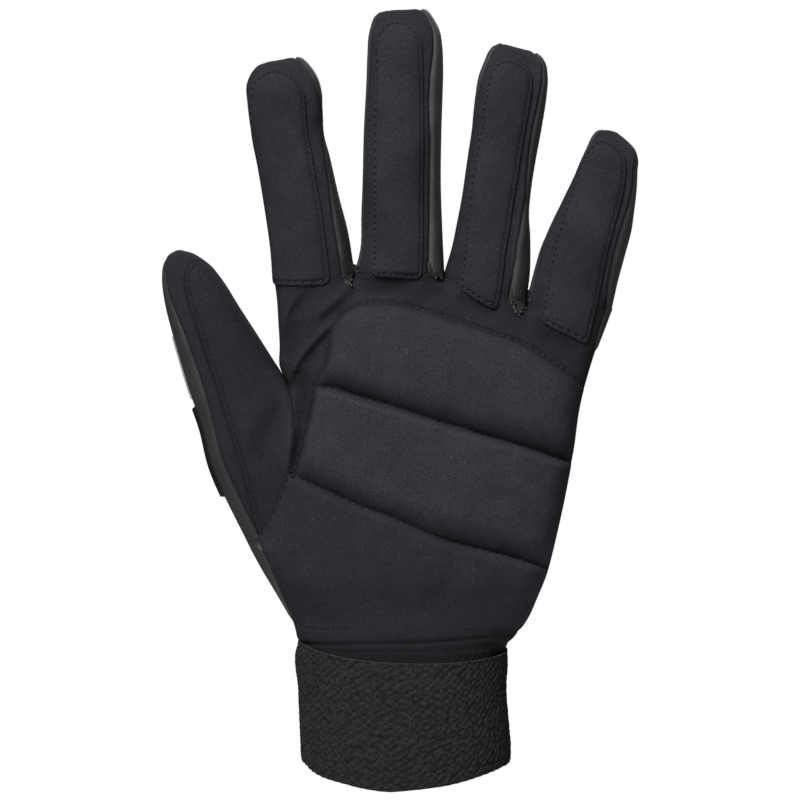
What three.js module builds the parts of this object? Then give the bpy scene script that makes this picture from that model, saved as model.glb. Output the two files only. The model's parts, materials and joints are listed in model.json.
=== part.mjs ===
// Padded base running glove for the left hand.
// Millimetres. X runs across the hand with the thumb at -X, Z runs up to the fingertips,
// and the palm faces -Y. The origin is the centre of the hand opening, at the cuff's side hem.

import * as THREE from 'three';

// Layer thicknesses
const SUEDE = 1.0;
const HIDE = 0.9;
const PATCH = 0.9;
const LINING = 0.6;
const GUARD = 1.2;
const KNIT = 1.6;
const CUFF_LINING = 1.2;
const ELASTIC = 1.2;

// Clearances
const GAP = 0.3; // between pieces that are sewn together or lie on each other
const FOLD_GAP = 0.3; // across a bending line
const FINGER_GAP = 0.5; // between neighbouring fingers at the knuckles
const LINING_EASE = 0.35; // slack of the palm's lining behind the pads
const WRIST_GAP = 0.75; // between the cuff and the elastic that turns inside it

// Cuff and wrist
const CUFF_HALF_WIDTH = 33.2;
const CUFF_HALF_DEPTH = 22.5;
const CUFF_TOP = 37;
const CUFF_ROUND = 2.3; // power of the cuff's oval section
const HEM_DROP = 3; // how far the hem dips at the palm and lifts at the back
const LINING_BELOW_TOP = 9; // the cuff's inner layer stops this far below its top
const ELASTIC_BELOW = 6.5; // reach of the elastic into the cuff
const ELASTIC_ABOVE = 9.5; // reach of the elastic above the cuff
const WRIST_LAP = 1.2; // the hand's panels lap this far down over the elastic

// Pads: the rows of the hand that each lies between, and how far the palm's skin stands out over it
const HEEL_PAD = { from: 0, to: 2, rise: 2.8 };
const MIDDLE_PAD = { from: 2, to: 3, rise: 4.4 };
const UPPER_PAD = { from: 3, to: 4, rise: 4.2 };
const CROWN_POWER = 4; // how flat the pads are on top

// Knuckles: the outer corner of the row of fingers, and the half depth of the hand there
const KNUCKLE_LEFT = -41.2;
const KNUCKLE_HALF_DEPTH = 10.3;
const KNUCKLE_ROUND = 6;
const KNUCKLE_PAD_SHARE = 0.6; // where the pads' left end runs out, across the index finger

// Fingers. lean is to the right in degrees. widths are half widths at WIDTH_STATIONS.
const FINGERS = {
  index: {
    height: 151.6, length: 71.9, lean: -9.2, bow: 0,
    widths: [13.1, 12.4, 11.7, 11.5, 11.8], flat: 0.55, sides: ['right'],
  },
  middle: {
    height: 152.8, length: 84.5, lean: 1.0, bow: 0,
    widths: [13.2, 12.4, 12.1, 12.1, 11.9], flat: 0.52, sides: ['left', 'right'],
  },
  ring: {
    height: 147.6, length: 79.5, lean: 6.8, bow: -0.9,
    widths: [12.5, 11.8, 10.6, 10.9, 11.2], flat: 0.55, sides: ['left', 'right'],
  },
  little: {
    height: 139.0, length: 62.4, lean: 13.2, bow: 0.6,
    widths: [11.8, 12.8, 12.2, 10.7, 9.2], flat: 0.4, sides: ['left'],
  },
};
const WIDTH_STATIONS = [0, 0.2, 0.5, 0.7, 0.88];
const TIP_START = 0.88; // share of the length where the fingertip starts to round off
const TIP_POWER = 2.4;
const DEPTH_SHARE = 0.76; // a finger's depth over its width
const TIP_DEPTH_FLAT = 0.42; // depth left at the flat end of a fingertip
const FINGER_ROUND = 2.6; // power of a finger's section
const TIP_DOME = 1.0; // rise of the closed end over the flat
const TIP_PINCH = 0.12; // share of the end ring that is left open where the panels meet
const MIDDLE_JOINT = 0.48; // share of the length where a finger bends
const PATCH_FOOT = 0.02;
const PATCH_HEAD = 0.93;
const LOWER_STEPS = [0.16, 0.32]; // rows between a finger's base and its joint
const UPPER_STEPS = [0.62, 0.76, TIP_START, PATCH_HEAD]; // rows above the joint
const END_STEPS = [0.5, 1]; // rows in over the closed end
const END_INSIDE = 0.1; // how far below its end a finger's middle is taken for the closed end

// Seams round a finger, in degrees from the palm side, positive to the right
const FRONT_ANGLES = [-105, -82, -59, -37, -15, 7, 28, 48];
const PATCH_ANGLES = [-59, -37, -15, 7, 28];
const RIGHT_ANGLES = [48, 80, 115];
const BACK_ANGLES = [115, 147, 180, 205];
const LEFT_ANGLES = [205, 230, 255];

// Thumb: the outline's left and right points from the fold at its base (0), past its joint (1)
// to its end (2)
const THUMB_STATIONS = [0, 0.25, 0.5, 0.75, 1, 1.25, 1.5, 1.75, 2];
const THUMB_JOINT = 1;
const THUMB_END = 2;
const THUMB_LEFT = [
  [-48.1, 70.4], [-59.2, 92.7], [-63.9, 107.6], [-67.9, 120.9], [-72.5, 138.6],
  [-74.4, 146.6], [-75.3, 152.8], [-75.0, 157.2], [-73.2, 160.6],
];
const THUMB_RIGHT = [
  [-36.3, 120.9], [-38.4, 124.3], [-41.9, 129.9], [-46.2, 137.0], [-51.8, 145.7],
  [-55.2, 151.3], [-58.3, 155.6], [-61.1, 159.0], [-64.8, 161.5],
];
const THUMB_HALF_DEPTHS = [11, 10.8, 10.4, 10, 9.5, 9, 8.2, 7, 5];
const THUMB_ROUND = 2.4;
const THUMB_FRONT_ANGLES = [-50, -20, 10, 40, 70, 100];
const THUMB_BACK_ANGLES = [100, 130, 160, 190, 220, 250, 280, 310];
const GUARD_ANGLES = [190, 220, 250, 280];
const GUARD_LOWER = [0.17, 0.4, 0.63];
const GUARD_UPPER = [0.67, 0.82, 0.96];

// Rows across the hand between the wrist and the knuckles. left and right are on the outline,
// pad is the left end of the pads, and bow lifts the middle of the row.
const THENAR = {
  left: [-48.1, 70.4], pad: [-35, 69], right: [39.4, 52.1], bow: -1,
  front: 16.2, back: 15.5, round: 2.6,
};
const LOWER_CREASE = {
  left: [-44, 88], pad: [-32.9, 90.2], right: [44, 62.9], bow: -2.1,
  front: 13.6, back: 13.6, round: 3.2,
};
const UPPER_CREASE = {
  left: [-36.7, 119.3], pad: [-27.6, 119.4], right: [51.5, 96.7], bow: 2.4,
  front: 12.6, back: 12.4, round: 3.8,
};
const PAD_TOP = {
  left: [-39.1, 131.7], pad: [-22.9, 135.5], right: [56.7, 124.9], bow: 12.6,
  front: 11.4, back: 11.2, round: 5,
};
const COLUMN_SHARES = [0, 0.16, 0.46, 0.49, 0.79, 0.82, 1]; // from the pads' left end to the right
const PAD_COLUMN = 1;
const LAST_COLUMN = COLUMN_SHARES.length;

// Divisions of the hand's rows and columns
const PALM_ROWS = [0, 0.12, 0.5, 1, 1.5, 1.88, 2, 2.1, 2.35, 2.65, 2.9, 3, 3.1, 3.35, 3.65, 3.9, 4, 4.5, 5];
const PALM_COLUMNS = [0, 0.12, 0.5, 1, 1.15, 1.6, 2, 2.5, 3, 4, 4.5, 5, 6, 6.5, 6.8, 6.95, 7];
const BACK_ROWS = [0, 0.5, 1, 1.5, 2, 2.5, 3, 3.5, 4, 4.5, 5];
const LINING_ROWS = [0.3, 1, 1.5, 2, 2.5, 3, 3.5, 4, 4.5, 4.9];
const LINING_COLUMNS = PALM_COLUMNS.slice(1, -1);
const FOAM_COLUMNS = [1.15, 1.6, 2, 2.5, 3, 4, 4.5, 5, 6, 6.5, 6.8];
const RING_STEPS = 32;
const CUFF_ROWS = [0, 0.5, 1];
const ELASTIC_ROWS = [0, 0.25, 0.5, 0.75, 1];
const EDGE = 0.15; // half of the seam left open along the hand's two side edges
const NORMAL_STEP = 1e-3; // step on a surface that its normal is taken over

// Small sums on numbers and points

const lerp = (a, b, t) => a + (b - a) * t;
const clamp = (value, low, high) => Math.min(Math.max(value, low), high);
const radians = THREE.MathUtils.degToRad;

// Straight-line reading of values at rising stations
function readAt(stations, values, at) {
  let k = 0;
  while (k < stations.length - 2 && at > stations[k + 1]) k += 1;
  return lerp(values[k], values[k + 1], (at - stations[k]) / (stations[k + 1] - stations[k]));
}

// Distance from the middle to the edge of an oval of the given half sizes, along an angle
function ovalReach(halfWidth, halfDepth, power, angle) {
  const across = Math.abs(Math.sin(angle)) / halfWidth;
  const deep = Math.abs(Math.cos(angle)) / halfDepth;
  return (across ** power + deep ** power) ** (-1 / power);
}

// Height of an oval's edge over its long axis, at a share of its half width
function ovalHeight(halfDepth, power, share) {
  return halfDepth * Math.max(0, 1 - Math.abs(share) ** power) ** (1 / power);
}

// Closed solids from grids of points

// A solid between an outer and an inner grid, closed along its edges. A grid that wraps
// joins its last column to its first.
function solidBetween(outer, inner, wraps = false) {
  const rows = outer.length;
  const columns = outer[0].length;
  const flat = [...outer.flat(), ...inner.flat()];
  const out = (i, j) => i * columns + (j % columns);
  const inn = (i, j) => rows * columns + out(i, j);
  const faces = [];
  const quad = (a, b, c, d) => faces.push(a, b, c, a, c, d);
  const spans = wraps ? columns : columns - 1;
  for (let i = 0; i < rows - 1; i += 1) {
    for (let j = 0; j < spans; j += 1) {
      quad(out(i, j), out(i, j + 1), out(i + 1, j + 1), out(i + 1, j));
      quad(inn(i, j), inn(i + 1, j), inn(i + 1, j + 1), inn(i, j + 1));
    }
    if (!wraps) {
      quad(out(i, 0), out(i + 1, 0), inn(i + 1, 0), inn(i, 0));
      quad(out(i, spans), inn(i, spans), inn(i + 1, spans), out(i + 1, spans));
    }
  }
  for (let j = 0; j < spans; j += 1) {
    quad(out(0, j), inn(0, j), inn(0, j + 1), out(0, j + 1));
    quad(out(rows - 1, j), out(rows - 1, j + 1), inn(rows - 1, j + 1), inn(rows - 1, j));
  }
  let volume = 0;
  for (let f = 0; f < faces.length; f += 3) {
    const [a, b, c] = [flat[faces[f]], flat[faces[f + 1]], flat[faces[f + 2]]];
    volume += a.dot(b.clone().cross(c));
  }
  if (volume < 0) faces.reverse();
  const geometry = new THREE.BufferGeometry();
  const positions = new Float32Array(flat.flatMap((p) => [p.x, p.y, p.z]));
  geometry.setAttribute('position', new THREE.BufferAttribute(positions, 3));
  geometry.setIndex(faces);
  geometry.computeVertexNormals();
  return geometry;
}

// A surface is a function of two numbers with a middle line, so that its outward side is known.
// The normal comes from two small steps on it.
function normalOn(surface, u, v) {
  const [lowV, highV] = surface.range;
  const alongU = surface.at(u + NORMAL_STEP, v).sub(surface.at(u - NORMAL_STEP, v));
  const above = surface.at(u, Math.min(v + NORMAL_STEP, highV));
  const alongV = above.sub(surface.at(u, Math.max(v - NORMAL_STEP, lowV)));
  const normal = alongU.cross(alongV).normalize();
  const outward = surface.at(u, v).sub(surface.middle(v, u));
  return normal.dot(outward) < 0 ? normal.negate() : normal;
}

// A layer of a surface between two heights along its normals, each a number or a function of place
function layer(surface, us, vs, low, high, wraps = false) {
  const grid = (height) => vs.map((v) => us.map((u) => {
    const lift = typeof height === 'function' ? height(u, v) : height;
    return surface.at(u, v).addScaledVector(normalOn(surface, u, v), lift);
  }));
  return solidBetween(grid(high), grid(low), wraps);
}

// A panel round a tube: the first and last columns keep half a gap from their seams.
// Rows named in cuts lie in a bending plane, so the wall's thickness stays in that plane there.
function tubePanel(surface, degrees, vs, cuts, low, high) {
  const angles = degrees.map(radians);
  const last = angles.length - 1;
  const trimmed = (j, v) => {
    const after = surface.at(angles[j] + NORMAL_STEP, v);
    const before = surface.at(angles[j] - NORMAL_STEP, v);
    const turn = (GAP / 2) * (2 * NORMAL_STEP / after.distanceTo(before));
    if (j === 0) return angles[j] + turn;
    return j === last ? angles[j] - turn : angles[j];
  };
  const grid = (height) => vs.map((v) => angles.map((_, j) => {
    const u = trimmed(j, v);
    const normal = normalOn(surface, u, v);
    if (cuts.includes(v)) normal.projectOnPlane(surface.ringNormal(v)).normalize();
    return surface.at(u, v).addScaledVector(normal, height);
  }));
  return solidBetween(grid(high), grid(low));
}

// Materials

const material = (color, roughness) => new THREE.MeshStandardMaterial({ color, roughness, metalness: 0 });
const suede = material(0x2e2d32, 0.95);
const patchSuede = material(0x2c2b30, 0.95);
const hide = material(0x303031, 0.6);
const knit = material(0x272528, 0.95);
const lining = material(0x222225, 0.9);
const foam = material(0x2a2a2c, 0.9);
const elastic = material(0x201e21, 0.9);
const paleRubber = material(0xb4b6b8, 0.5);
const blackRubber = material(0x1a1a1c, 0.5);

const glove = new THREE.Group();
function add(name, geometry, finish) {
  const mesh = new THREE.Mesh(geometry, finish);
  mesh.name = name;
  glove.add(mesh);
}

// Fingers

// A finger's frame: the middle of its base, the direction across its rings and its length.
// Its rings lean half as far as the finger, so that bent fingers come down side by side.
function fingerFrame(finger, baseX) {
  const lean = radians(finger.lean);
  return {
    ...finger,
    base: new THREE.Vector3(baseX, 0, finger.height),
    along: new THREE.Vector3(Math.sin(lean), 0, Math.cos(lean)),
    across: new THREE.Vector3(Math.cos(lean / 2), 0, -Math.sin(lean / 2)),
    up: new THREE.Vector3(Math.sin(lean / 2), 0, Math.cos(lean / 2)),
  };
}

function fingerHalfWidth(finger, t) {
  const full = readAt(WIDTH_STATIONS, finger.widths, Math.min(t, TIP_START));
  const tip = clamp((t - TIP_START) / (1 - TIP_START), 0, 1);
  return full * (1 - (1 - finger.flat) * tip ** TIP_POWER);
}

function fingerHalfDepth(finger, t) {
  const full = DEPTH_SHARE * readAt(WIDTH_STATIONS, finger.widths, Math.min(t, TIP_START));
  const tip = clamp((t - TIP_START) / (1 - TIP_START), 0, 1);
  return full * (1 - (1 - TIP_DEPTH_FLAT) * tip ** TIP_POWER);
}

// The middle line of a finger: straight, with a slight bow sideways
function fingerMiddle(finger, v) {
  const t = Math.min(v, 1);
  const cap = Math.max(v - 1, 0);
  const point = finger.base.clone().addScaledVector(finger.along, finger.length * t);
  point.addScaledVector(finger.across, finger.bow * 4 * t * (1 - t));
  return point.addScaledVector(finger.along, TIP_DOME * (1 - (1 - cap) ** 2));
}

// Round a finger by angle and along it from 0 to 1, then in over its end from 1 to 2
function fingerSurface(finger) {
  return {
    range: [-END_INSIDE, 2],
    ringNormal: () => finger.up,
    middle: (v) => fingerMiddle(finger, v > 1 ? 1 - END_INSIDE : v),
    at: (angle, v) => {
      const t = Math.min(v, 1);
      const pinch = lerp(1, TIP_PINCH, Math.max(v - 1, 0));
      const halfWidth = fingerHalfWidth(finger, t) * pinch;
      const halfDepth = fingerHalfDepth(finger, t) * pinch;
      const reach = ovalReach(halfWidth, halfDepth, FINGER_ROUND, angle);
      const point = fingerMiddle(finger, v);
      point.addScaledVector(finger.across, reach * Math.sin(angle));
      point.y -= reach * Math.cos(angle);
      return point;
    },
  };
}

// The lower and upper lengths of one finger, cut apart at its joint
function addFinger(name, finger) {
  const surface = fingerSurface(finger);
  const half = FOLD_GAP / 2 / (finger.length * Math.cos(radians(finger.lean / 2)));
  const cuts = [half, MIDDLE_JOINT - half, MIDDLE_JOINT + half];
  const patchRows = {
    lower: [PATCH_FOOT, ...LOWER_STEPS, MIDDLE_JOINT - half],
    upper: [MIDDLE_JOINT + half, ...UPPER_STEPS],
  };
  const lengths = {
    lower: [half, ...LOWER_STEPS, MIDDLE_JOINT - half],
    upper: [...patchRows.upper, 1, ...END_STEPS.map((step) => 1 + step)],
  };
  const hasLeft = finger.sides.includes('left');
  const hasRight = finger.sides.includes('right');
  const backAngles = [
    ...(hasRight ? [] : RIGHT_ANGLES.slice(0, -1)),
    ...BACK_ANGLES,
    ...(hasLeft ? [] : LEFT_ANGLES.slice(1)),
  ];
  for (const [part, rows] of Object.entries(lengths)) {
    const stem = `${name}_${part}`;
    add(`${stem}_front`, tubePanel(surface, FRONT_ANGLES, rows, cuts, -SUEDE, 0), suede);
    add(`${stem}_back`, tubePanel(surface, backAngles, rows, cuts, -HIDE, 0), hide);
    if (hasLeft) add(`${stem}_left_strip`, tubePanel(surface, LEFT_ANGLES, rows, cuts, -HIDE, 0), hide);
    if (hasRight) add(`${stem}_right_strip`, tubePanel(surface, RIGHT_ANGLES, rows, cuts, -HIDE, 0), hide);
    const patch = tubePanel(surface, PATCH_ANGLES, patchRows[part], cuts, GAP, GAP + PATCH);
    add(`${stem}_patch`, patch, patchSuede);
  }
}

// The fingers stand side by side along the knuckles, each as wide as its base
const fingers = {};
let knuckleX = KNUCKLE_LEFT;
for (const [name, finger] of Object.entries(FINGERS)) {
  const halfBase = finger.widths[0] * Math.cos(radians(finger.lean / 2));
  fingers[name] = fingerFrame(finger, knuckleX + halfBase);
  knuckleX += 2 * halfBase + FINGER_GAP;
}
for (const [name, finger] of Object.entries(fingers)) addFinger(name, finger);

// Thumb

const flatPoint = ([x, z]) => new THREE.Vector3(x, 0, z);
const thumbFold = {
  low: flatPoint(THUMB_LEFT[0]),
  high: flatPoint(THUMB_RIGHT[0]),
};
thumbFold.middle = thumbFold.low.clone().lerp(thumbFold.high, 0.5);
thumbFold.along = thumbFold.high.clone().sub(thumbFold.low).normalize();
thumbFold.halfLength = thumbFold.low.distanceTo(thumbFold.high) / 2;
thumbFold.outward = new THREE.Vector3(-thumbFold.along.z, 0, thumbFold.along.x);

// The two outline points of a thumb ring. The first ring stands half a gap off the fold.
function thumbEdge(points, v) {
  const k = Math.min(v, THUMB_END);
  const x = readAt(THUMB_STATIONS, points.map((p) => p[0]), k);
  const z = readAt(THUMB_STATIONS, points.map((p) => p[1]), k);
  const off = (FOLD_GAP / 2) * clamp(1 - k / THUMB_STATIONS[1], 0, 1);
  return flatPoint([x, z]).addScaledVector(thumbFold.outward, off);
}

// Round the thumb by angle and along it from 0 to 2, then in over its end from 2 to 3
const thumbSurface = {
  range: [0, THUMB_END + 1],
  ringNormal: (v) => {
    const across = thumbEdge(THUMB_RIGHT, v).sub(thumbEdge(THUMB_LEFT, v)).normalize();
    return new THREE.Vector3(-across.z, 0, across.x);
  },
  middle: (v) => {
    const inside = v > THUMB_END ? THUMB_END - END_INSIDE : v;
    return thumbEdge(THUMB_LEFT, inside).lerp(thumbEdge(THUMB_RIGHT, inside), 0.5);
  },
  at: (angle, v) => {
    const left = thumbEdge(THUMB_LEFT, v);
    const right = thumbEdge(THUMB_RIGHT, v);
    const cap = Math.max(v - THUMB_END, 0);
    const pinch = lerp(1, TIP_PINCH, cap);
    const across = right.clone().sub(left);
    const halfWidth = (across.length() / 2) * pinch;
    const halfDepth = readAt(THUMB_STATIONS, THUMB_HALF_DEPTHS, Math.min(v, THUMB_END)) * pinch;
    across.normalize();
    const reach = ovalReach(halfWidth, halfDepth, THUMB_ROUND, angle);
    const point = left.lerp(right, 0.5).addScaledVector(across, reach * Math.sin(angle));
    point.y -= reach * Math.cos(angle);
    const up = new THREE.Vector3(-across.z, 0, across.x);
    return point.addScaledVector(up, TIP_DOME * (1 - (1 - cap) ** 2));
  },
};

// Half the gap at the thumb's joint, as a step along the stations
const afterJoint = THUMB_STATIONS.filter((v) => v > THUMB_JOINT);
const jointEdge = thumbEdge(THUMB_RIGHT, THUMB_JOINT);
const jointSpan = jointEdge.distanceTo(thumbEdge(THUMB_RIGHT, afterJoint[0]));
const thumbHalf = (FOLD_GAP / 2) * ((afterJoint[0] - THUMB_JOINT) / jointSpan);
const thumbCuts = [0, THUMB_JOINT - thumbHalf, THUMB_JOINT + thumbHalf];
const thumbLower = [0, ...GUARD_LOWER, ...GUARD_UPPER, thumbCuts[1]];
const thumbUpper = [thumbCuts[2], ...afterJoint, ...END_STEPS.map((step) => THUMB_END + step)];
const thumbPanel = (angles, rows, low, high) => tubePanel(thumbSurface, angles, rows, thumbCuts, low, high);
add('thumb_lower_front', thumbPanel(THUMB_FRONT_ANGLES, thumbLower, -SUEDE, 0), suede);
add('thumb_lower_back', thumbPanel(THUMB_BACK_ANGLES, thumbLower, -HIDE, 0), hide);
add('thumb_upper_front', thumbPanel(THUMB_FRONT_ANGLES, thumbUpper, -SUEDE, 0), suede);
add('thumb_upper_back', thumbPanel(THUMB_BACK_ANGLES, thumbUpper, -HIDE, 0), hide);
const guard = (rows) => thumbPanel(GUARD_ANGLES, rows, GAP, GAP + GUARD);
add('thumb_guard_lower', guard(GUARD_LOWER), blackRubber);
add('thumb_guard_upper', guard(GUARD_UPPER), paleRubber);

// Wrist and cuff

const elasticHalfWidth = CUFF_HALF_WIDTH - KNIT - WRIST_GAP;
const elasticHalfDepth = CUFF_HALF_DEPTH - KNIT - WRIST_GAP;
const barrelHalfDepth = (z) => Math.sqrt(elasticHalfDepth ** 2 - (z - CUFF_TOP) ** 2);
const elasticTop = CUFF_TOP + ELASTIC_ABOVE;
const wristHeight = elasticTop - WRIST_LAP;

// A ring round the wrist by angle and height, with its own half sizes at each height
function ringSurface(halfWidth, halfDepth, heightAt) {
  return {
    range: [-1, 2],
    middle: (v, angle) => new THREE.Vector3(0, 0, heightAt(angle, v)),
    at: (angle, v) => {
      const z = heightAt(angle, v);
      const reach = ovalReach(halfWidth, halfDepth(z), CUFF_ROUND, angle);
      return new THREE.Vector3(reach * Math.sin(angle), -reach * Math.cos(angle), z);
    },
  };
}

const ringAngles = Array.from({ length: RING_STEPS }, (_, k) => (2 * Math.PI * k) / RING_STEPS);
const hemAt = (angle) => -HEM_DROP * Math.cos(angle);
const fromHemTo = (top) => (angle, v) => lerp(hemAt(angle), top, v);
const cuffDepth = () => CUFF_HALF_DEPTH;
const cuffOuter = ringSurface(CUFF_HALF_WIDTH, cuffDepth, fromHemTo(CUFF_TOP));
const cuffInner = ringSurface(CUFF_HALF_WIDTH, cuffDepth, fromHemTo(CUFF_TOP - LINING_BELOW_TOP));
const elasticHeight = (angle, v) => lerp(CUFF_TOP - ELASTIC_BELOW, elasticTop, v);
const elasticSurface = ringSurface(elasticHalfWidth, barrelHalfDepth, elasticHeight);
const knitInside = -KNIT - GAP;
add('cuff_knit', layer(cuffOuter, ringAngles, CUFF_ROWS, -KNIT, 0, true), knit);
add('cuff_lining', layer(cuffInner, ringAngles, CUFF_ROWS, knitInside - CUFF_LINING, knitInside, true), knit);
add('wrist_elastic', layer(elasticSurface, ringAngles, ELASTIC_ROWS, -ELASTIC, 0, true), elastic);

// Hand

// Half sizes that let the hand's panels lap over the elastic at the wrist
const lap = GAP + SUEDE + WRIST_GAP;
const WRIST = {
  left: [-elasticHalfWidth - lap, wristHeight],
  pad: [-elasticHalfWidth + lap, wristHeight],
  right: [elasticHalfWidth + lap, wristHeight],
  bow: 0,
  front: barrelHalfDepth(wristHeight) + lap,
  back: barrelHalfDepth(wristHeight) + lap,
  round: CUFF_ROUND,
};
const crossRows = [WRIST, THENAR, LOWER_CREASE, UPPER_CREASE, PAD_TOP];

// A point on a finger's bending line, half a gap below it, at a share from its left to its right
function knucklePoint(finger, share) {
  const offset = (2 * share - 1) * finger.widths[0];
  const point = finger.base.clone().addScaledVector(finger.across, offset);
  return point.addScaledVector(finger.up, -FOLD_GAP / 2);
}
const knuckleRow = [
  knucklePoint(fingers.index, 0),
  knucklePoint(fingers.index, KNUCKLE_PAD_SHARE),
  knucklePoint(fingers.index, 1),
  knucklePoint(fingers.middle, 1),
  knucklePoint(fingers.ring, 0),
  knucklePoint(fingers.ring, 1),
  knucklePoint(fingers.little, 0),
  knucklePoint(fingers.little, 1),
];

// The points of one cross row at the named columns: the left outline, then the shares
function crossRowPoints(row) {
  const points = COLUMN_SHARES.map((share) => flatPoint([
    lerp(row.pad[0], row.right[0], share),
    lerp(row.pad[1], row.right[1], share) + row.bow * 4 * share * (1 - share),
  ]));
  return [flatPoint(row.left), ...points];
}
const rowPoints = [...crossRows.map(crossRowPoints), knuckleRow];
const rowNumbers = rowPoints.map((_, k) => k);
const rowValues = (key, last) => [...crossRows.map((row) => row[key]), last];
const fronts = rowValues('front', KNUCKLE_HALF_DEPTH);
const backs = rowValues('back', KNUCKLE_HALF_DEPTH);
const rounds = rowValues('round', KNUCKLE_ROUND);

// The place of a column on a row, in the plane of the hand
function handPlace(column, row) {
  const i = clamp(Math.floor(row), 0, rowPoints.length - 2);
  const j = clamp(Math.floor(column), 0, LAST_COLUMN - 1);
  const across = (points) => points[j].clone().lerp(points[j + 1], column - j);
  return across(rowPoints[i]).lerp(across(rowPoints[i + 1]), row - i);
}

// Half depth of the open side where the thumb joins, at a place on the fold
function foldHalfDepth(place) {
  const share = place.clone().sub(thumbFold.middle).dot(thumbFold.along) / thumbFold.halfLength;
  const onFold = Math.abs(share) < 1;
  return onFold ? ovalHeight(THUMB_HALF_DEPTHS[0], THUMB_ROUND, share) : 0;
}

// Half depth of the hand at a column and row. The left side stays open along the thumb's fold.
function handHalfDepth(column, row, depths) {
  const left = handPlace(0, row);
  const right = handPlace(LAST_COLUMN, row);
  const place = handPlace(column, row);
  const full = readAt(rowNumbers, depths, row);
  const power = readAt(rowNumbers, rounds, row);
  const open = Math.min(foldHalfDepth(left) / full, 1);
  const reach = (1 - open ** power) ** (1 / power);
  const middleX = (left.x + right.x) / 2;
  const share = clamp((place.x - middleX) / ((right.x - left.x) / 2), -1, 1);
  return Math.max(ovalHeight(full, power, share < 0 ? share * reach : share), EDGE);
}

// The palm or the back of the hand as a surface of columns and rows
function handSurface(side, depths) {
  return {
    range: [0, rowPoints.length - 1],
    middle: (row, column) => handPlace((column + LAST_COLUMN / 2) / 2, row),
    at: (column, row) => {
      const place = handPlace(column, row);
      place.y = side * handHalfDepth(column, row, depths);
      return place;
    },
  };
}
const palm = handSurface(-1, fronts);
const back = handSurface(1, backs);

// Rise of the palm's skin over a pad: a crown across and along, drawn in to nothing at its seams
const crown = (share) => Math.sqrt(1 - Math.abs(2 * clamp(share, 0, 1) - 1) ** CROWN_POWER);
function padRise(column, row) {
  const pad = [HEEL_PAD, MIDDLE_PAD, UPPER_PAD].find(({ from, to }) => row >= from && row <= to);
  if (!pad) return 0;
  const along = crown((row - pad.from) / (pad.to - pad.from));
  return pad.rise * along * crown((column - PAD_COLUMN) / (LAST_COLUMN - PAD_COLUMN));
}

const skinInside = (column, row) => padRise(column, row) - SUEDE;
add('palm_panel', layer(palm, PALM_COLUMNS, PALM_ROWS, skinInside, padRise), suede);
const liningTop = -SUEDE - GAP - LINING_EASE;
add('palm_lining', layer(palm, LINING_COLUMNS, LINING_ROWS, liningTop - LINING, liningTop), lining);
add('back_panel', layer(back, PALM_COLUMNS, BACK_ROWS, -HIDE, 0), hide);

// Foam fills each pad between the lining and the skin, clear of its seams
const foamTop = (column, row) => skinInside(column, row) - GAP;
const foamRows = ({ from, to }) => PALM_ROWS.filter((row) => row > from && row < to);
const foamPad = (pad) => layer(palm, FOAM_COLUMNS, foamRows(pad), liningTop + GAP, foamTop);
add('heel_pad_foam', foamPad(HEEL_PAD), foam);
add('middle_pad_foam', foamPad(MIDDLE_PAD), foam);
add('upper_pad_foam', foamPad(UPPER_PAD), foam);

export default glove;
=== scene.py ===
"""Padded base running glove for the left hand: its skins, pads, stitching, knit and finishes."""

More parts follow.
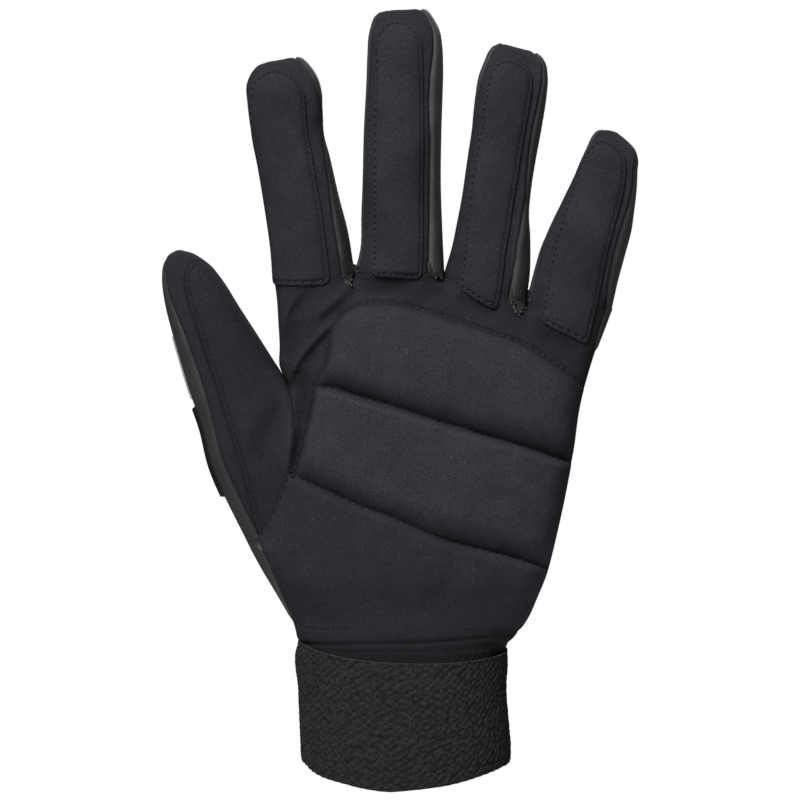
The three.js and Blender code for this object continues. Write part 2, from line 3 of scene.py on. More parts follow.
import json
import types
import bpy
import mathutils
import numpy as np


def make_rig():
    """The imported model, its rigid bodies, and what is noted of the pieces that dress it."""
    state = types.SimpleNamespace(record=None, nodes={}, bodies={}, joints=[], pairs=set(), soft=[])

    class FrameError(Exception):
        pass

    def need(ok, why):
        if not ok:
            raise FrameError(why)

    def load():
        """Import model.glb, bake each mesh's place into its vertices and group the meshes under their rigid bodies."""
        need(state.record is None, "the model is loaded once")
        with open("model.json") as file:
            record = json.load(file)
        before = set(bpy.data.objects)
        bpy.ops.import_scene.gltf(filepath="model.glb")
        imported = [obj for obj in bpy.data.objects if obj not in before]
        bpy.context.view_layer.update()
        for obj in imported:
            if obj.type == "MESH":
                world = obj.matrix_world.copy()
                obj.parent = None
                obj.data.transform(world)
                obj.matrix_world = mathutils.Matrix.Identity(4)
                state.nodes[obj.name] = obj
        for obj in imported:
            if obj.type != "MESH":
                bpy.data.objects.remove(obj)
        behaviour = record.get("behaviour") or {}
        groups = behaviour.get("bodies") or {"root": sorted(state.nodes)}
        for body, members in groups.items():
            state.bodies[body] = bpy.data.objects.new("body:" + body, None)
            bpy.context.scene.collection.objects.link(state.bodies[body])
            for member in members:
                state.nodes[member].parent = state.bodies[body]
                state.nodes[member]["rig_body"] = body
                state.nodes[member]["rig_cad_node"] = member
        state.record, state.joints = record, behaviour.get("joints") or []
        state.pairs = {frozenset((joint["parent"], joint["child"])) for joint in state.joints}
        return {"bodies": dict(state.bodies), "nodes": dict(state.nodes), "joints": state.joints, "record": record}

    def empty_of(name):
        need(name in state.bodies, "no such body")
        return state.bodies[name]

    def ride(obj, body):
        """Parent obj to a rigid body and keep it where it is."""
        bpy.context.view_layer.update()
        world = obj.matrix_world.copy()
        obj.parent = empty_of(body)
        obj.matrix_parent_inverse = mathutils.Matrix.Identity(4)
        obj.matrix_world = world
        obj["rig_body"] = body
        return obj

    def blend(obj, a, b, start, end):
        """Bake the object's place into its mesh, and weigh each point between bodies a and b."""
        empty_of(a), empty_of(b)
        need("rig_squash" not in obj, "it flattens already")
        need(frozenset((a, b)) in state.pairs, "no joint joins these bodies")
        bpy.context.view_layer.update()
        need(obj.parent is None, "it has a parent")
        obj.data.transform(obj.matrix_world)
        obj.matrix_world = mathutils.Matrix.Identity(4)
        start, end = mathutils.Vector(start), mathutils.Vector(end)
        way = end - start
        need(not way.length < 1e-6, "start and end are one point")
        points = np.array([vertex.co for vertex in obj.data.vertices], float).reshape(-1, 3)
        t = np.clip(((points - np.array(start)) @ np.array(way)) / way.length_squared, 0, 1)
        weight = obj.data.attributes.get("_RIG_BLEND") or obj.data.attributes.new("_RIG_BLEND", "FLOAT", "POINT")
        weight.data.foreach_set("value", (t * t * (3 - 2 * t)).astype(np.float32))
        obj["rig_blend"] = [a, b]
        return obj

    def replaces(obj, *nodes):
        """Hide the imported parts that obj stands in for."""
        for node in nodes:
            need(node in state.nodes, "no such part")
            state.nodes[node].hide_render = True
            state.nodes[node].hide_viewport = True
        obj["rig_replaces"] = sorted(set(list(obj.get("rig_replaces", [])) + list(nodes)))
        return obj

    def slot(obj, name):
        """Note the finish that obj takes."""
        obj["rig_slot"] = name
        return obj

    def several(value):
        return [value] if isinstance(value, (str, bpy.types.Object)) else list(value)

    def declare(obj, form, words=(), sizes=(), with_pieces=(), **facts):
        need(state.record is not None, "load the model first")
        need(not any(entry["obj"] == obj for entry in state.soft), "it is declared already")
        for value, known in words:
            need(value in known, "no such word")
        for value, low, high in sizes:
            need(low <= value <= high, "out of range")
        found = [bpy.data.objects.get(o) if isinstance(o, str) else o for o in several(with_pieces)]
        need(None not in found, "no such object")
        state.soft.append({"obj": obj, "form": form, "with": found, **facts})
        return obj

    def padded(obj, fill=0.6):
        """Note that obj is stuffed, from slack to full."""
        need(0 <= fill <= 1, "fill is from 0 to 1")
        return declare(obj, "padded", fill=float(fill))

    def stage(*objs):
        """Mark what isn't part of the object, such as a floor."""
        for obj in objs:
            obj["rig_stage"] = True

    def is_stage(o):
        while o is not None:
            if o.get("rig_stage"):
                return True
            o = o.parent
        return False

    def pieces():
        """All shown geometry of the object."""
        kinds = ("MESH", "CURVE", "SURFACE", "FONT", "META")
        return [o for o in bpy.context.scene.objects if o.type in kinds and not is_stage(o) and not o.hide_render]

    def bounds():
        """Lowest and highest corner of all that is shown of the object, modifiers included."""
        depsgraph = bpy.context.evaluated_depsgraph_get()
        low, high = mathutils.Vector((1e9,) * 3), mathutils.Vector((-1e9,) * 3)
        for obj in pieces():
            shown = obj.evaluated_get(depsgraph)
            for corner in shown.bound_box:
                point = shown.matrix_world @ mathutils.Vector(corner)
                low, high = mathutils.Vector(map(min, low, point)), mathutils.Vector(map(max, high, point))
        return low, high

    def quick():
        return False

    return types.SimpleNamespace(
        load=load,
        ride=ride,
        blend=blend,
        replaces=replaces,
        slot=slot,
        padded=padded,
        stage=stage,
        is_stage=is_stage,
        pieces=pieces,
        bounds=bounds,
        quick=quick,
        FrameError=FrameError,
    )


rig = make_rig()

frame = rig.load()

import json
from pathlib import Path

import bpy
import numpy as np
from bpy.props import FloatProperty, FloatVectorProperty, IntProperty, PointerProperty
from bpy.types import Operator, Panel, PropertyGroup
from mathutils import Vector

bl_info = {
    "name": "Padded Glove",
    "version": (1, 0, 0),
    "blender": (4, 5, 0),
    "location": "View3D > Sidebar > Glove",
    "description": "Builds the skins, pads, stitching and finishes of a padded running glove",
    "category": "Add Mesh",
}

CAD_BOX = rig.bounds()
SIZE_FILE = Path("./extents.json")
MM = 0.001
TINY = 1e-9

# Outlines in millimetres, x across the hand and z up to the fingertips.
# A finger's left and right sides go from its root to its flat end in the same number of points.
FINGER_SIDES = {
    "index": (
        ((-40.3, 152.2), (-41.1, 163.2), (-43.0, 176.5), (-45.2, 188.9), (-47.5, 199.1), (-48.8, 209.3),
         (-49.0, 213.0), (-48.3, 215.6), (-46.7, 218.2), (-45.0, 219.7), (-43.1, 220.4)),
        ((-15.6, 155.9), (-17.6, 168.3), (-20.5, 179.6), (-23.3, 191.9), (-25.2, 199.1), (-25.5, 206.3),
         (-25.7, 211.4), (-26.8, 215.6), (-29.2, 219.5), (-31.5, 221.6), (-33.2, 222.1)),
    ),
    "middle": (
        ((-15.6, 155.9), (-13.8, 163.2), (-13.5, 173.4), (-13.1, 183.7), (-12.7, 199.1), (-11.9, 214.6),
         (-11.6, 223.2), (-11.2, 228.9), (-10.4, 232.0), (-9.3, 234.6), (-7.8, 235.9), (-5.9, 236.3)),
        ((12.2, 155.6), (11.6, 168.3), (11.1, 183.7), (11.3, 200.0), (11.6, 209.4), (11.8, 219.7),
         (11.5, 225.9), (10.7, 230.5), (9.3, 233.4), (7.8, 235.6), (6.7, 236.6), (5.6, 236.8)),
    ),
    "ring": (
        ((12.2, 155.6), (14.5, 163.2), (16.0, 170.3), (17.6, 178.6), (19.1, 188.9), (20.6, 199.1),
         (21.8, 210.4), (22.8, 216.6), (24.8, 221.7), (25.9, 224.0), (27.4, 225.6), (29.1, 226.3)),
        ((37.6, 146.9), (38.7, 155.9), (38.8, 166.2), (38.4, 173.6), (39.2, 182.7), (40.7, 191.9),
         (42.4, 201.2), (43.8, 210.4), (44.1, 216.6), (43.5, 220.2), (42.2, 222.2), (40.7, 223.3)),
    ),
    "little": (
        ((37.6, 146.9), (39.6, 154.9), (42.1, 163.2), (45.1, 170.3), (48.6, 177.5), (52.0, 184.7),
         (54.7, 190.9), (56.5, 194.8), (57.8, 197.6), (59.2, 199.2), (61.1, 199.9)),
        ((64.1, 144.8), (65.9, 152.9), (68.1, 161.1), (70.0, 168.3), (70.9, 174.5), (71.7, 181.7),
         (71.9, 186.9), (72.0, 190.7), (70.8, 194.1), (68.7, 196.4), (66.3, 198.6)),
    ),
}
FINGERS = tuple(FINGER_SIDES)

# Seams round each finger in degrees from the palm side, positive to the right, at rising shares of
# the finger's length. The left one ends the front, the right one parts it from the right strip.
SEAM_SHARES = (0, 0.1, 0.2, 0.3, 0.4, 0.5, 0.6, 0.7, 0.8, 0.9, 1)
RIGHT_SEAMS = {
    "index": (44.5, 42, 42.5, 48, 55, 59.5, 69, 86, 67, 55, 53),
    "middle": (38.5, 40.5, 43.5, 45, 45, 42, 39.5, 40, 47.5, 53, 53.5),
    "ring": (33, 33.2, 38, 49, 58.5, 52, 47.5, 46, 50, 54, 58),
    "little": (56, 50, 46, 43.5, 43, 46, 53, 57, 58, 70, 85),
}
LEFT_SEAMS = {
    "index": (-104,) * len(SEAM_SHARES),
    "middle": (-70, -71, -72, -73, -74, -74, -74, -73, -71, -70, -70),
    "ring": (-96, -100, -102, -102, -102, -100, -92, -78, -68, -66, -66),
    "little": (-72, -72, -76, -86, -96, -98, -98, -92, -80, -72, -70),
}
# The back's seams, level along the finger, and the sides of each finger that have a strip
BACK_RIGHT_SEAM = ((0,), (118,))
BACK_LEFT_SEAM = ((0,), (222,))
SIDE_STRIPS = {
    "index": ("right",),
    "middle": ("left", "right"),
    "ring": ("left", "right"),
    "little": ("left",),
}

# Patches: their left and right edges in degrees at rising shares of the finger's length, and, as
# shares of it too, the heights of the foot's left and right corners and of the head
PATCH_SHARES = (0, 0.15, 0.3, 0.45, 0.6, 0.75, 0.9)
PATCH_EDGES = {
    "index": ((-92, -91, -90, -87, -78, -62, -53), (22, 23, 26.5, 28.5, 32.5, 33, 30)),
    "middle": ((-35.5, -41.5, -42.5, -44.5, -46.5, -49.5, -49.5), (28, 30, 31.5, 30.5, 28.5, 26, 25)),
    "ring": ((-36.5, -45.5, -51.5, -53.5, -50.5, -46.5, -45.5), (18.5, 17.5, 25.5, 30.5, 30, 31, 31.5)),
    "little": ((-38.5, -42.5, -46.5, -53.5, -62.5, -68, -68), (35, 34, 30.5, 29.5, 32.5, 32.5, 29.5)),
}
PATCH_FEET = {
    "index": (0.0, -0.045),
    "middle": (-0.02, -0.028),
    "ring": (-0.045, -0.085),
    "little": (-0.095, -0.225),
}
PATCH_HEADS = {"index": 0.925, "middle": 0.94, "ring": 0.93, "little": 0.915}

# Thumb: left and right sides from its fold at the hand (0), past its joint (1) to its end (2)
THUMB_STATIONS = (0, 0.25, 0.5, 0.75, 1, 1.25, 1.5, 1.7, 1.85, 1.95, 2)
THUMB_SIDES = (
    ((-48.1, 70.4), (-58.8, 92.7), (-62.8, 107.6), (-67.4, 120.9), (-72.5, 138.6), (-74.4, 146.6),
     (-75.2, 152.8), (-75.0, 156.6), (-74.1, 159.4), (-72.7, 161.4), (-70.9, 162.4)),
    ((-36.3, 121.5), (-38.4, 124.8), (-41.9, 130.2), (-46.2, 137.0), (-51.8, 145.7), (-55.2, 151.3),
     (-57.9, 155.1), (-60.4, 158.0), (-63.6, 160.4), (-66.5, 161.9), (-68.9, 162.5)),
)
THUMB_DEPTHS = (11, 10.8, 10.4, 10, 9.5, 9, 8.2, 7.3, 6.0, 4.4, 2.4)

# The hand's edges: its lower left side, the seam where the thumb is set in, its side below the
# index finger, and its right side
LOWER_LEFT = ((-33.2, 41.2), (-35.0, 48.0), (-39.4, 55.5), (-44.0, 62.9), (-48.1, 70.4))
THUMB_SEAM = ((-48.1, 70.4), (-44.6, 75.6), (-41.3, 81.3), (-38.6, 87.8), (-36.0, 94.6), (-34.2, 103.8),
              (-34.4, 114.0), (-36.3, 121.5))
INDEX_SIDE = ((-36.3, 121.5), (-38.8, 126.8), (-38.8, 133.3), (-39.2, 141.1), (-39.6, 147.2), (-40.3, 152.2))
RIGHT_SIDE = ((32.6, 41.2), (38.0, 48.0), (41.4, 55.5), (44.3, 62.9), (46.2, 70.4), (49.4, 85.2),
              (52.1, 100.1), (54.2, 115.0), (58.3, 129.9), (61.1, 137.3), (64.1, 144.8))

# Half depths of the hand and the roundness of its section at rising heights
HAND_HEIGHTS = (41, 48, 58, 70, 82, 96, 112, 128, 142, 156)
FRONT_DEPTHS = (16.2, 16.9, 16.6, 15.4, 14.4, 13.4, 12.6, 11.8, 11.0, 10.2)
BACK_DEPTHS = (16.2, 16.9, 16.4, 15.2, 14.2, 13.2, 12.4, 11.6, 10.9, 10.2)
HAND_ROUNDS = (2.3, 2.35, 2.5, 2.7, 3.0, 3.4, 3.8, 4.4, 5.0, 5.6)
PALM_BOTTOM = 46.5

# Sewn lines on the palm
PAD_TOP_LINE = ((-28.2, 121.0), (-25.4, 125.6), (-23.9, 129.3), (-23.6, 133.6), (-23.0, 137.8),
                (-19.9, 142.4), (-14.4, 145.8), (-7.1, 146.4), (4.6, 144.4), (12.2, 142.1), (26.0, 137.5),
                (36.4, 133.9), (42.9, 129.9), (50.5, 124.7), (56.4, 119.4))
UPPER_CREASE = ((-27.8, 120.2), (-23.0, 120.3), (-16.8, 118.3), (-10.7, 116.5), (-1.6, 113.7), (7.6, 110.7),
                (16.8, 107.9), (26.0, 105.2), (38.2, 101.5), (44.3, 99.3), (53.5, 96.4))
LOWER_CREASE = ((-34.2, 93.3), (-29.0, 90.8), (-22.9, 88.1), (-16.8, 85.3), (-10.7, 82.9), (-4.6, 80.8),
                (1.5, 78.0), (7.6, 75.3), (13.7, 73.1), (19.8, 71.6), (25.9, 70.1), (32.1, 68.5),
                (46.5, 63.6))
PAD_LEFT_LINE = ((-27.9, 119.8), (-28.5, 116.4), (-29.4, 113.0), (-30.3, 108.4), (-31.6, 103.8),
                 (-32.8, 98.9), (-34.3, 93.1))
PAD_LINES = (PAD_TOP_LINE, UPPER_CREASE, LOWER_CREASE, PAD_LEFT_LINE)
SEWN_DEPTHS = (0.4, 0.25, 0.25, 0.4)
SEWN_WIDTH = 0.7

# Folds of the suede: points, depth (a ridge is above zero), width, all in millimetres
FOLDS = (
    (((-23.9, 151.9), (-27.9, 150.4), (-30.7, 147.9), (-33.1, 144.9), (-35.0, 141.5), (-36.8, 133.2)),
     -1.1, 2.3),
    (((-31.6, 149.2), (-34.4, 146.4), (-36.2, 143.3), (-37.1, 139.7), (-37.6, 136.0)), 1.0, 1.3),
    (((-34.1, 140.6), (-35.3, 135.1), (-36.2, 128.9)), -1.2, 3.0),
    (((-16.3, 152.5), (-18.7, 149.5), (-21.5, 146.9), (-24.2, 144.9), (-29.0, 141.0)), 1.2, 1.9),
    (((-14.4, 151.0), (-17.5, 148.1), (-20.3, 145.6), (-22.7, 143.3), (-27.0, 139.5)), -0.7, 2.2),
    (((-16.6, 150.4), (-10.7, 151.3), (-4.0, 151.6), (4.6, 153.2)), -2.2, 2.6),
    (((-19.8, 142.4), (-26.1, 136.6), (-29.5, 132.9), (-32.2, 129.5), (-34.4, 126.2), (-36.2, 121.0)),
     1.6, 1.3),
    (((-19.6, 141.0), (-24.6, 136.0), (-28.0, 132.0), (-30.8, 128.3), (-32.6, 124.3), (-33.6, 119.0)),
     -1.0, 2.5),
    (((-34.6, 129.6), (-35.4, 126.0), (-36.0, 122.6)), -0.8, 0.9),
    (((-32.5, 126.0), (-31.3, 119.7), (-31.0, 115.4), (-31.3, 109.0)), -2.0, 2.2),
    (((-31.0, 114.0), (-31.9, 105.9), (-33.1, 99.8), (-34.6, 93.0)), -1.6, 1.6),
    (((-36.9, 119.6), (-35.6, 113.5), (-35.0, 107.4), (-35.3, 101.2), (-36.0, 94.0)), 1.5, 2.2),
    (((-36.9, 117.9), (-39.6, 113.2), (-42.7, 107.4), (-44.9, 101.9), (-45.8, 95.0)), -1.2, 3.2),
    (((16.2, 148.6), (21.8, 145.5), (26.7, 143.8), (30.0, 145.2)), -1.4, 2.1),
    (((39.5, 141.2), (43.5, 136.9), (48.1, 133.5), (53.6, 131.4)), -1.2, 2.4),
    (((41.4, 142.4), (42.9, 137.8), (45.4, 132.9)), -0.7, 1.2),
    (((17.5, 68.8), (14.4, 63.0), (10.7, 57.8), (5.8, 53.5)), -0.5, 2.8),
    (((-67.3, 160.8), (-69.1, 157.8), (-70.1, 154.1), (-69.4, 150.4)), -0.6, 2.2),
)

# Edge of the thumb's sewn-on front panel, from its arc at the tip down to the hand
THUMB_PANEL_EDGE = (
    (-60.0, 157.5), (-62.4, 159.1), (-64.9, 159.0), (-66.7, 157.5), (-67.7, 155.0), (-67.8, 152.2),
    (-67.3, 149.2), (-65.5, 143.3), (-63.0, 135.9), (-60.6, 128.6), (-58.1, 121.5), (-56.0, 114.4),
    (-53.5, 106.4), (-51.4, 98.7), (-49.5, 92.6), (-47.7, 84.9), (-45.8, 77.5), (-44.6, 74.4))

# The side strips' pointed ends between the fingers: left and right edges down to the point
GUSSETS = {
    "index_middle": (((-19.8, 159.9), (-19.2, 156.5), (-18.5, 154.4), (-17.8, 152.5)),
                     ((-14.7, 157.8), (-15.4, 155.9), (-16.7, 153.9), (-17.8, 152.5))),
    "middle_ring": (((7.3, 159.0), (7.4, 157.2), (7.7, 155.6), (9.3, 154.5)),
                    ((12.0, 156.2), (11.9, 155.5), (11.1, 154.7), (9.3, 154.5))),
    "ring_little": (((32.7, 151.0), (32.4, 147.9), (33.2, 145.4), (34.7, 143.3)),
                    ((38.3, 150.4), (37.8, 147.6), (36.7, 145.1), (34.7, 143.3))),
}


def length(name, description, millimetres):
    """A length that a user may change, from its default in millimetres."""
    return FloatProperty(name=name, description=description, default=millimetres * MM, unit="LENGTH")


class GloveSizes(PropertyGroup):
    """Sizes of the glove's layers, pads and stitches that a user would change."""

    suede: length("Suede", "Thickness of the suede", 0.9)
    hide: length("Hide", "Thickness of the smooth hide", 0.8)
    patch: length("Patch", "Height of a finger patch", 0.75)
    upper_pad: length("Upper pad", "Rise of the pad under the knuckles", 4.2)
    middle_pad: length("Middle pad", "Rise of the pad across the palm", 4.4)
    heel_pad: length("Heel pad", "Rise of the pad on the heel of the hand", 2.8)
    stitch: length("Stitch", "Distance from one stitch to the next", 2.2)
    thread: length("Thread", "Thickness of the thread", 0.62)
    knit: length("Knit", "Height of the cuff's loops", 0.42)
    loops: IntProperty(name="Loops", description="Loops round the cuff", default=67, min=20, max=90)


def paint(red, green, blue):
    """Linear colour of a screen colour given in 0 to 255, by the screen's transfer curve."""
    share = np.array((red, green, blue)) / 255
    linear = np.where(share > 0.04045, ((share + 0.055) / 1.055) ** 2.4, share / 12.92)
    return tuple(linear.tolist())


def colour(name, description, value):
    """A colour that a user may change."""
    return FloatVectorProperty(name=name, description=description, default=value, size=3, subtype="COLOR",
                               min=0, max=1)


class GloveColours(PropertyGroup):
    """Colours of the glove's materials."""

    suede: colour("Suede", "Brushed suede of the palm and fingers", paint(40.5, 39.6, 44.3))
    patch: colour("Patch", "Brushed suede of the finger patches", paint(42.2, 41.3, 46))
    hide: colour("Hide", "Smooth hide of the back and the finger sides", paint(52, 51, 52))
    knit: colour("Knit", "Yarn of the cuff", paint(45, 43, 46))
    thread: colour("Thread", "Sewing thread", paint(40, 39, 43))
    cord: colour("Cord", "Sewn edge of the cuff", paint(50, 48, 50))
    tack: colour("Tack", "Frayed thread between the fingers", paint(66, 64, 65))
    lining: colour("Lining", "Tricot lining", paint(40, 40, 43))
    foam: colour("Foam", "Foam of the pads", paint(52, 52, 54))
    pale_guard: colour("Pale guard", "Upper thumb guard", paint(168, 171, 180))
    black_guard: colour("Black guard", "Lower thumb guard", paint(17, 17, 19))


# Sums on arrays

def smooth(stations, values, at):
    """Cubic arcs through values at rising stations, each with the mean slope of its neighbours,
    and straight on past both ends."""
    stations, values, at = (np.asarray(a, float) for a in (stations, values, at))
    slopes = np.gradient(values, stations, axis=0)
    inside = np.clip(at, stations[0], stations[-1])
    k = np.clip(np.searchsorted(stations, inside, side="right") - 1, 0, len(stations) - 2)
    span, past = stations[k + 1] - stations[k], at - inside
    u = (inside - stations[k]) / span
    if values.ndim > 1:
        u, span, past = u[..., None], span[..., None], past[..., None]
    beyond = past * np.where(past < 0, slopes[0], slopes[-1])
    low = (1 + 2 * u) * (1 - u) ** 2 * values[k] + u * (1 - u) ** 2 * span * slopes[k]
    high = u * u * (3 - 2 * u) * values[k + 1] - u * u * (1 - u) * span * slopes[k + 1]
    return low + high + beyond


def ease(low, high, at):
    """Smooth step from 0 at low to 1 at high."""
    t = np.clip((at - low) / (high - low), 0, 1)
    return t * t * (3 - 2 * t)


def ramp(distance, width):
    """A quarter circle: 0 at no distance, upright there, and level 1 from the given width on."""
    t = np.clip(distance / width, 0, 1)
    return np.sqrt(1 - (1 - t) ** 2)


def swell(distance, width):
    """A quarter of a sine wave: 0 at no distance, sloping there, and level 1 from the given width on."""
    return np.sin(np.pi / 2 * np.clip(distance / width, 0, 1))


def bell(distance, width):
    """A bell curve, 1 at no distance: e to the minus square of the distance over the width."""
    return np.exp(-(distance / width) ** 2)


def oval(share, power):
    """Height of an oval of the given power over its long axis, at a share of its half width."""
    return np.clip(1 - np.abs(share) ** power, 0, 1) ** (1 / power)


def share_across(at, low, high):
    """A place between two ends as a share of half their distance, from -1 to 1."""
    return np.clip((2 * at - low - high) / (high - low), -1, 1)


def bent_power(value, power):
    """A sine or cosine drawn out for an oval of the given power, with its sign kept."""
    return np.sign(value) * np.abs(value) ** (2 / power)


def packed(*parts):
    """Arrays side by side along a last axis, as x, y and z make points."""
    return np.stack(parts, axis=-1)


def plane(points):
    """x and z of points or of places: the first and the last of their numbers."""
    return points[..., 0], points[..., -1]


def turns(count):
    """Evenly spaced angles once round."""
    return np.linspace(0, 2 * np.pi, count, endpoint=False)


def unit(vectors):
    """Vectors brought to a length of one."""
    return vectors / np.maximum(np.linalg.norm(vectors, axis=-1, keepdims=True), TINY)


def run_along(points):
    """Length along a line of points from its first."""
    return np.append(0, np.cumsum(np.linalg.norm(np.diff(points, axis=0), axis=1)))


def at_run(points, run, at):
    """Places on a line of points at lengths along it."""
    return np.stack([np.interp(at, run, column) for column in points.T], axis=-1)


def at_depth(x, z, y):
    """Points at places in the hand's plane, all as far behind it."""
    return packed(x, np.full_like(x, y), z)


CURVE_STEPS = 40
LINE_POINTS = 40


def curve_through(points, count):
    """Evenly spaced places on the smooth curve through the points."""
    points = np.asarray(points, float)
    fine_steps = np.linspace(0, len(points) - 1, CURVE_STEPS * len(points))
    fine = smooth(np.arange(len(points)), points, fine_steps)
    run = run_along(fine)
    return at_run(fine, run, np.linspace(0, run[-1], count))


def beside(points, x, z, count=LINE_POINTS):
    """Distance of places from the curve through the points, above zero on its left side, and the
    share of the curve's length at the nearest point."""
    curve = curve_through(points, count)
    start, step = curve[:-1], np.diff(curve, axis=0)
    offset = packed(x, z)[..., None, :] - start
    along = np.clip((offset * step).sum(-1) / (step ** 2).sum(-1), 0, 1)
    gap = offset - along[..., None] * step
    square = (gap ** 2).sum(-1)
    nearest = square.argmin(-1)[..., None]
    side = np.sign(step[:, 0] * offset[..., 1] - step[:, 1] * offset[..., 0])
    distance = np.sqrt(np.take_along_axis(square, nearest, -1)[..., 0])
    share = (nearest[..., 0] + np.take_along_axis(along, nearest, -1)[..., 0]) / len(step)
    return distance * np.take_along_axis(side, nearest, -1)[..., 0], share


def ripple(x, z, size):
    """Soft unevenness of cloth: three crossing waves of about the given length, from -1 to 1."""
    turn = 2 * np.pi / size
    waves = np.sin(turn * (x + 0.3 * z) + 1.7 * np.sin(turn * 0.31 * z))
    waves += np.sin(turn * (0.8 * z - 0.45 * x) + 1.3 * np.sin(turn * 0.27 * x + 2))
    waves += np.sin(turn * (0.55 * x + 0.9 * z) + 0.8)
    return waves / 3


def unevenness(x, z, coarse, fine):
    """A coarse and a fine ripple of cloth, each given as its height and length."""
    return coarse[0] * ripple(x, z, coarse[1]) + fine[0] * ripple(z, x, fine[1])


def crossed(points):
    """Normals of a grid of points, as the cross product of its two directions."""
    return np.cross(np.gradient(points, axis=1), np.gradient(points, axis=0))


def normals(points, middle):
    """Unit normals of a grid of points, turned away from the middle."""
    across = unit(crossed(points))
    return across if ((points - middle) * across).sum() >= 0 else -across


def arc_length(points):
    """Length along each row of a grid of points from its first column."""
    steps = np.linalg.norm(np.diff(points, axis=1), axis=-1)
    return np.concatenate([np.zeros((len(points), 1)), np.cumsum(steps, axis=1)], axis=1)


# Meshes

def mesh_object(name, points, faces, material, slot):
    """A smooth-shaded object of points in millimetres and lists of faces."""
    mesh = bpy.data.meshes.new(name)
    mesh.from_pydata(np.asarray(points).reshape(-1, 3) * MM, [], faces)
    mesh.polygons.foreach_set("use_smooth", np.ones(len(mesh.polygons), bool))
    mesh.materials.append(material)
    mesh.update()
    piece = bpy.data.objects.new(name, mesh)
    bpy.context.scene.collection.objects.link(piece)
    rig.slot(piece, slot)
    return piece


def grid_faces(rows, columns, wraps=False):
    """Four-sided faces of a grid, row by row, joined round where it wraps."""
    index = np.arange(rows * columns).reshape(rows, columns)
    if wraps:
        index = np.concatenate([index, index[:, :1]], axis=1)
    corners = (index[:-1, :-1], index[:-1, 1:], index[1:, 1:], index[1:, :-1])
    return np.stack(corners, axis=-1).reshape(-1, 4)


def mark_rim(mesh):
    """Marks the edges with one face as sharp, so that a rim does not shade into the skin."""
    used = np.zeros(len(mesh.loops), int)
    mesh.loops.foreach_get("edge_index", used)
    lone = np.bincount(used, minlength=len(mesh.edges)) == 1
    sharp = mesh.attributes.new("sharp_edge", "BOOLEAN", "EDGE")
    sharp.data.foreach_set("value", lone)


def set_tone(mesh, tones):
    """Gives a mesh the lightness of its points."""
    tone = mesh.attributes.new("tone", "FLOAT", "POINT")
    tone.data.foreach_set("value", tones.astype(np.float32).ravel())


def thin_rows(piece, shape, weights):
    """A vertex group that thins a grid's skin to a share of its thickness in each row."""
    group = piece.vertex_groups.new(name="thickness")
    for row, weight in zip(np.arange(shape[0] * shape[1]).reshape(shape).tolist(), weights):
        group.add(row, float(weight), "REPLACE")
    return group.name


def skin(name, points, middle, thickness, layer, slot=None, wraps=False, tone=1.0, thinned=None):
    """A grid of points as a skin that faces away from its middle and is thickened inwards, to a share
    of the thickness in each row where it is thinned. Its tone is a share of the material's lightness
    at each point, for nap swept lighter and darker and for painted light and shade. Its layer names
    its finish, and its slot unless another is given."""
    faces = grid_faces(*points.shape[:2], wraps)
    if ((points - middle) * crossed(points)).sum() < 0:
        faces = faces[:, ::-1]
    piece = mesh_object(name, points, faces.tolist(), material(layer), slot or layer)
    mark_rim(piece.data)
    set_tone(piece.data, np.broadcast_to(tone, points.shape[:2]))
    if thickness:
        solid = piece.modifiers.new("thickness", "SOLIDIFY")
        solid.thickness = thickness
        solid.offset = -1
        if thinned is not None:
            solid.vertex_group = thin_rows(piece, points.shape[:2], thinned)
    return piece


def closed_pad(name, top, bottom, material, slot):
    """A closed form between two grids of points of the same size, joined round their edges."""
    rows, columns = top.shape[:2]
    index = np.arange(rows * columns).reshape(rows, columns)
    rim = np.concatenate([index[0], index[1:, -1], index[-1, -2::-1], index[-2:0:-1, 0]])
    after = np.roll(rim, -1)
    half = rows * columns
    walls = packed(rim, after, after + half, rim + half)
    top_faces = grid_faces(rows, columns)
    faces = np.concatenate([top_faces, top_faces[:, ::-1] + half, walls[:, ::-1]])
    centre = (top.mean((0, 1)) + bottom.mean((0, 1))) / 2
    if (normals(top, centre) * crossed(top)).sum() < 0:
        faces = faces[:, ::-1]
    points = np.concatenate([top.reshape(-1, 3), bottom.reshape(-1, 3)])
    return mesh_object(name, points, faces.tolist(), material, slot)


CORD_SIDES = 8


def sweep(name, path, radius, material, slot):
    """A round cord along a closed path: at each place a ring square to the path."""
    along = unit(np.roll(path, -1, axis=0) - np.roll(path, 1, axis=0))
    side = unit(np.cross(along, (0, 0, 1.0)))
    up = np.cross(side, along)
    turn = turns(CORD_SIDES)[None, :, None]
    points = path[:, None] + radius * (np.cos(turn) * side[:, None] + np.sin(turn) * up[:, None])
    points = np.concatenate([points, points[:1]])
    faces = grid_faces(len(points), CORD_SIDES, True)[:, ::-1]
    return mesh_object(name, points, faces.tolist(), material, slot)


# A stitch: rings and sides, turns of its end rings in degrees, half length, and each ring's lightness: a painted
# highlight at one end and painted shade over the rest
STITCH_SHAPE = (5, 8)
STITCH_TURNS = (22, 158)
STITCH_REACH = 0.36
STITCH_LIGHT_AND_SHADE = (2.4, 1.5, 0.3, 0.22, 0.3)


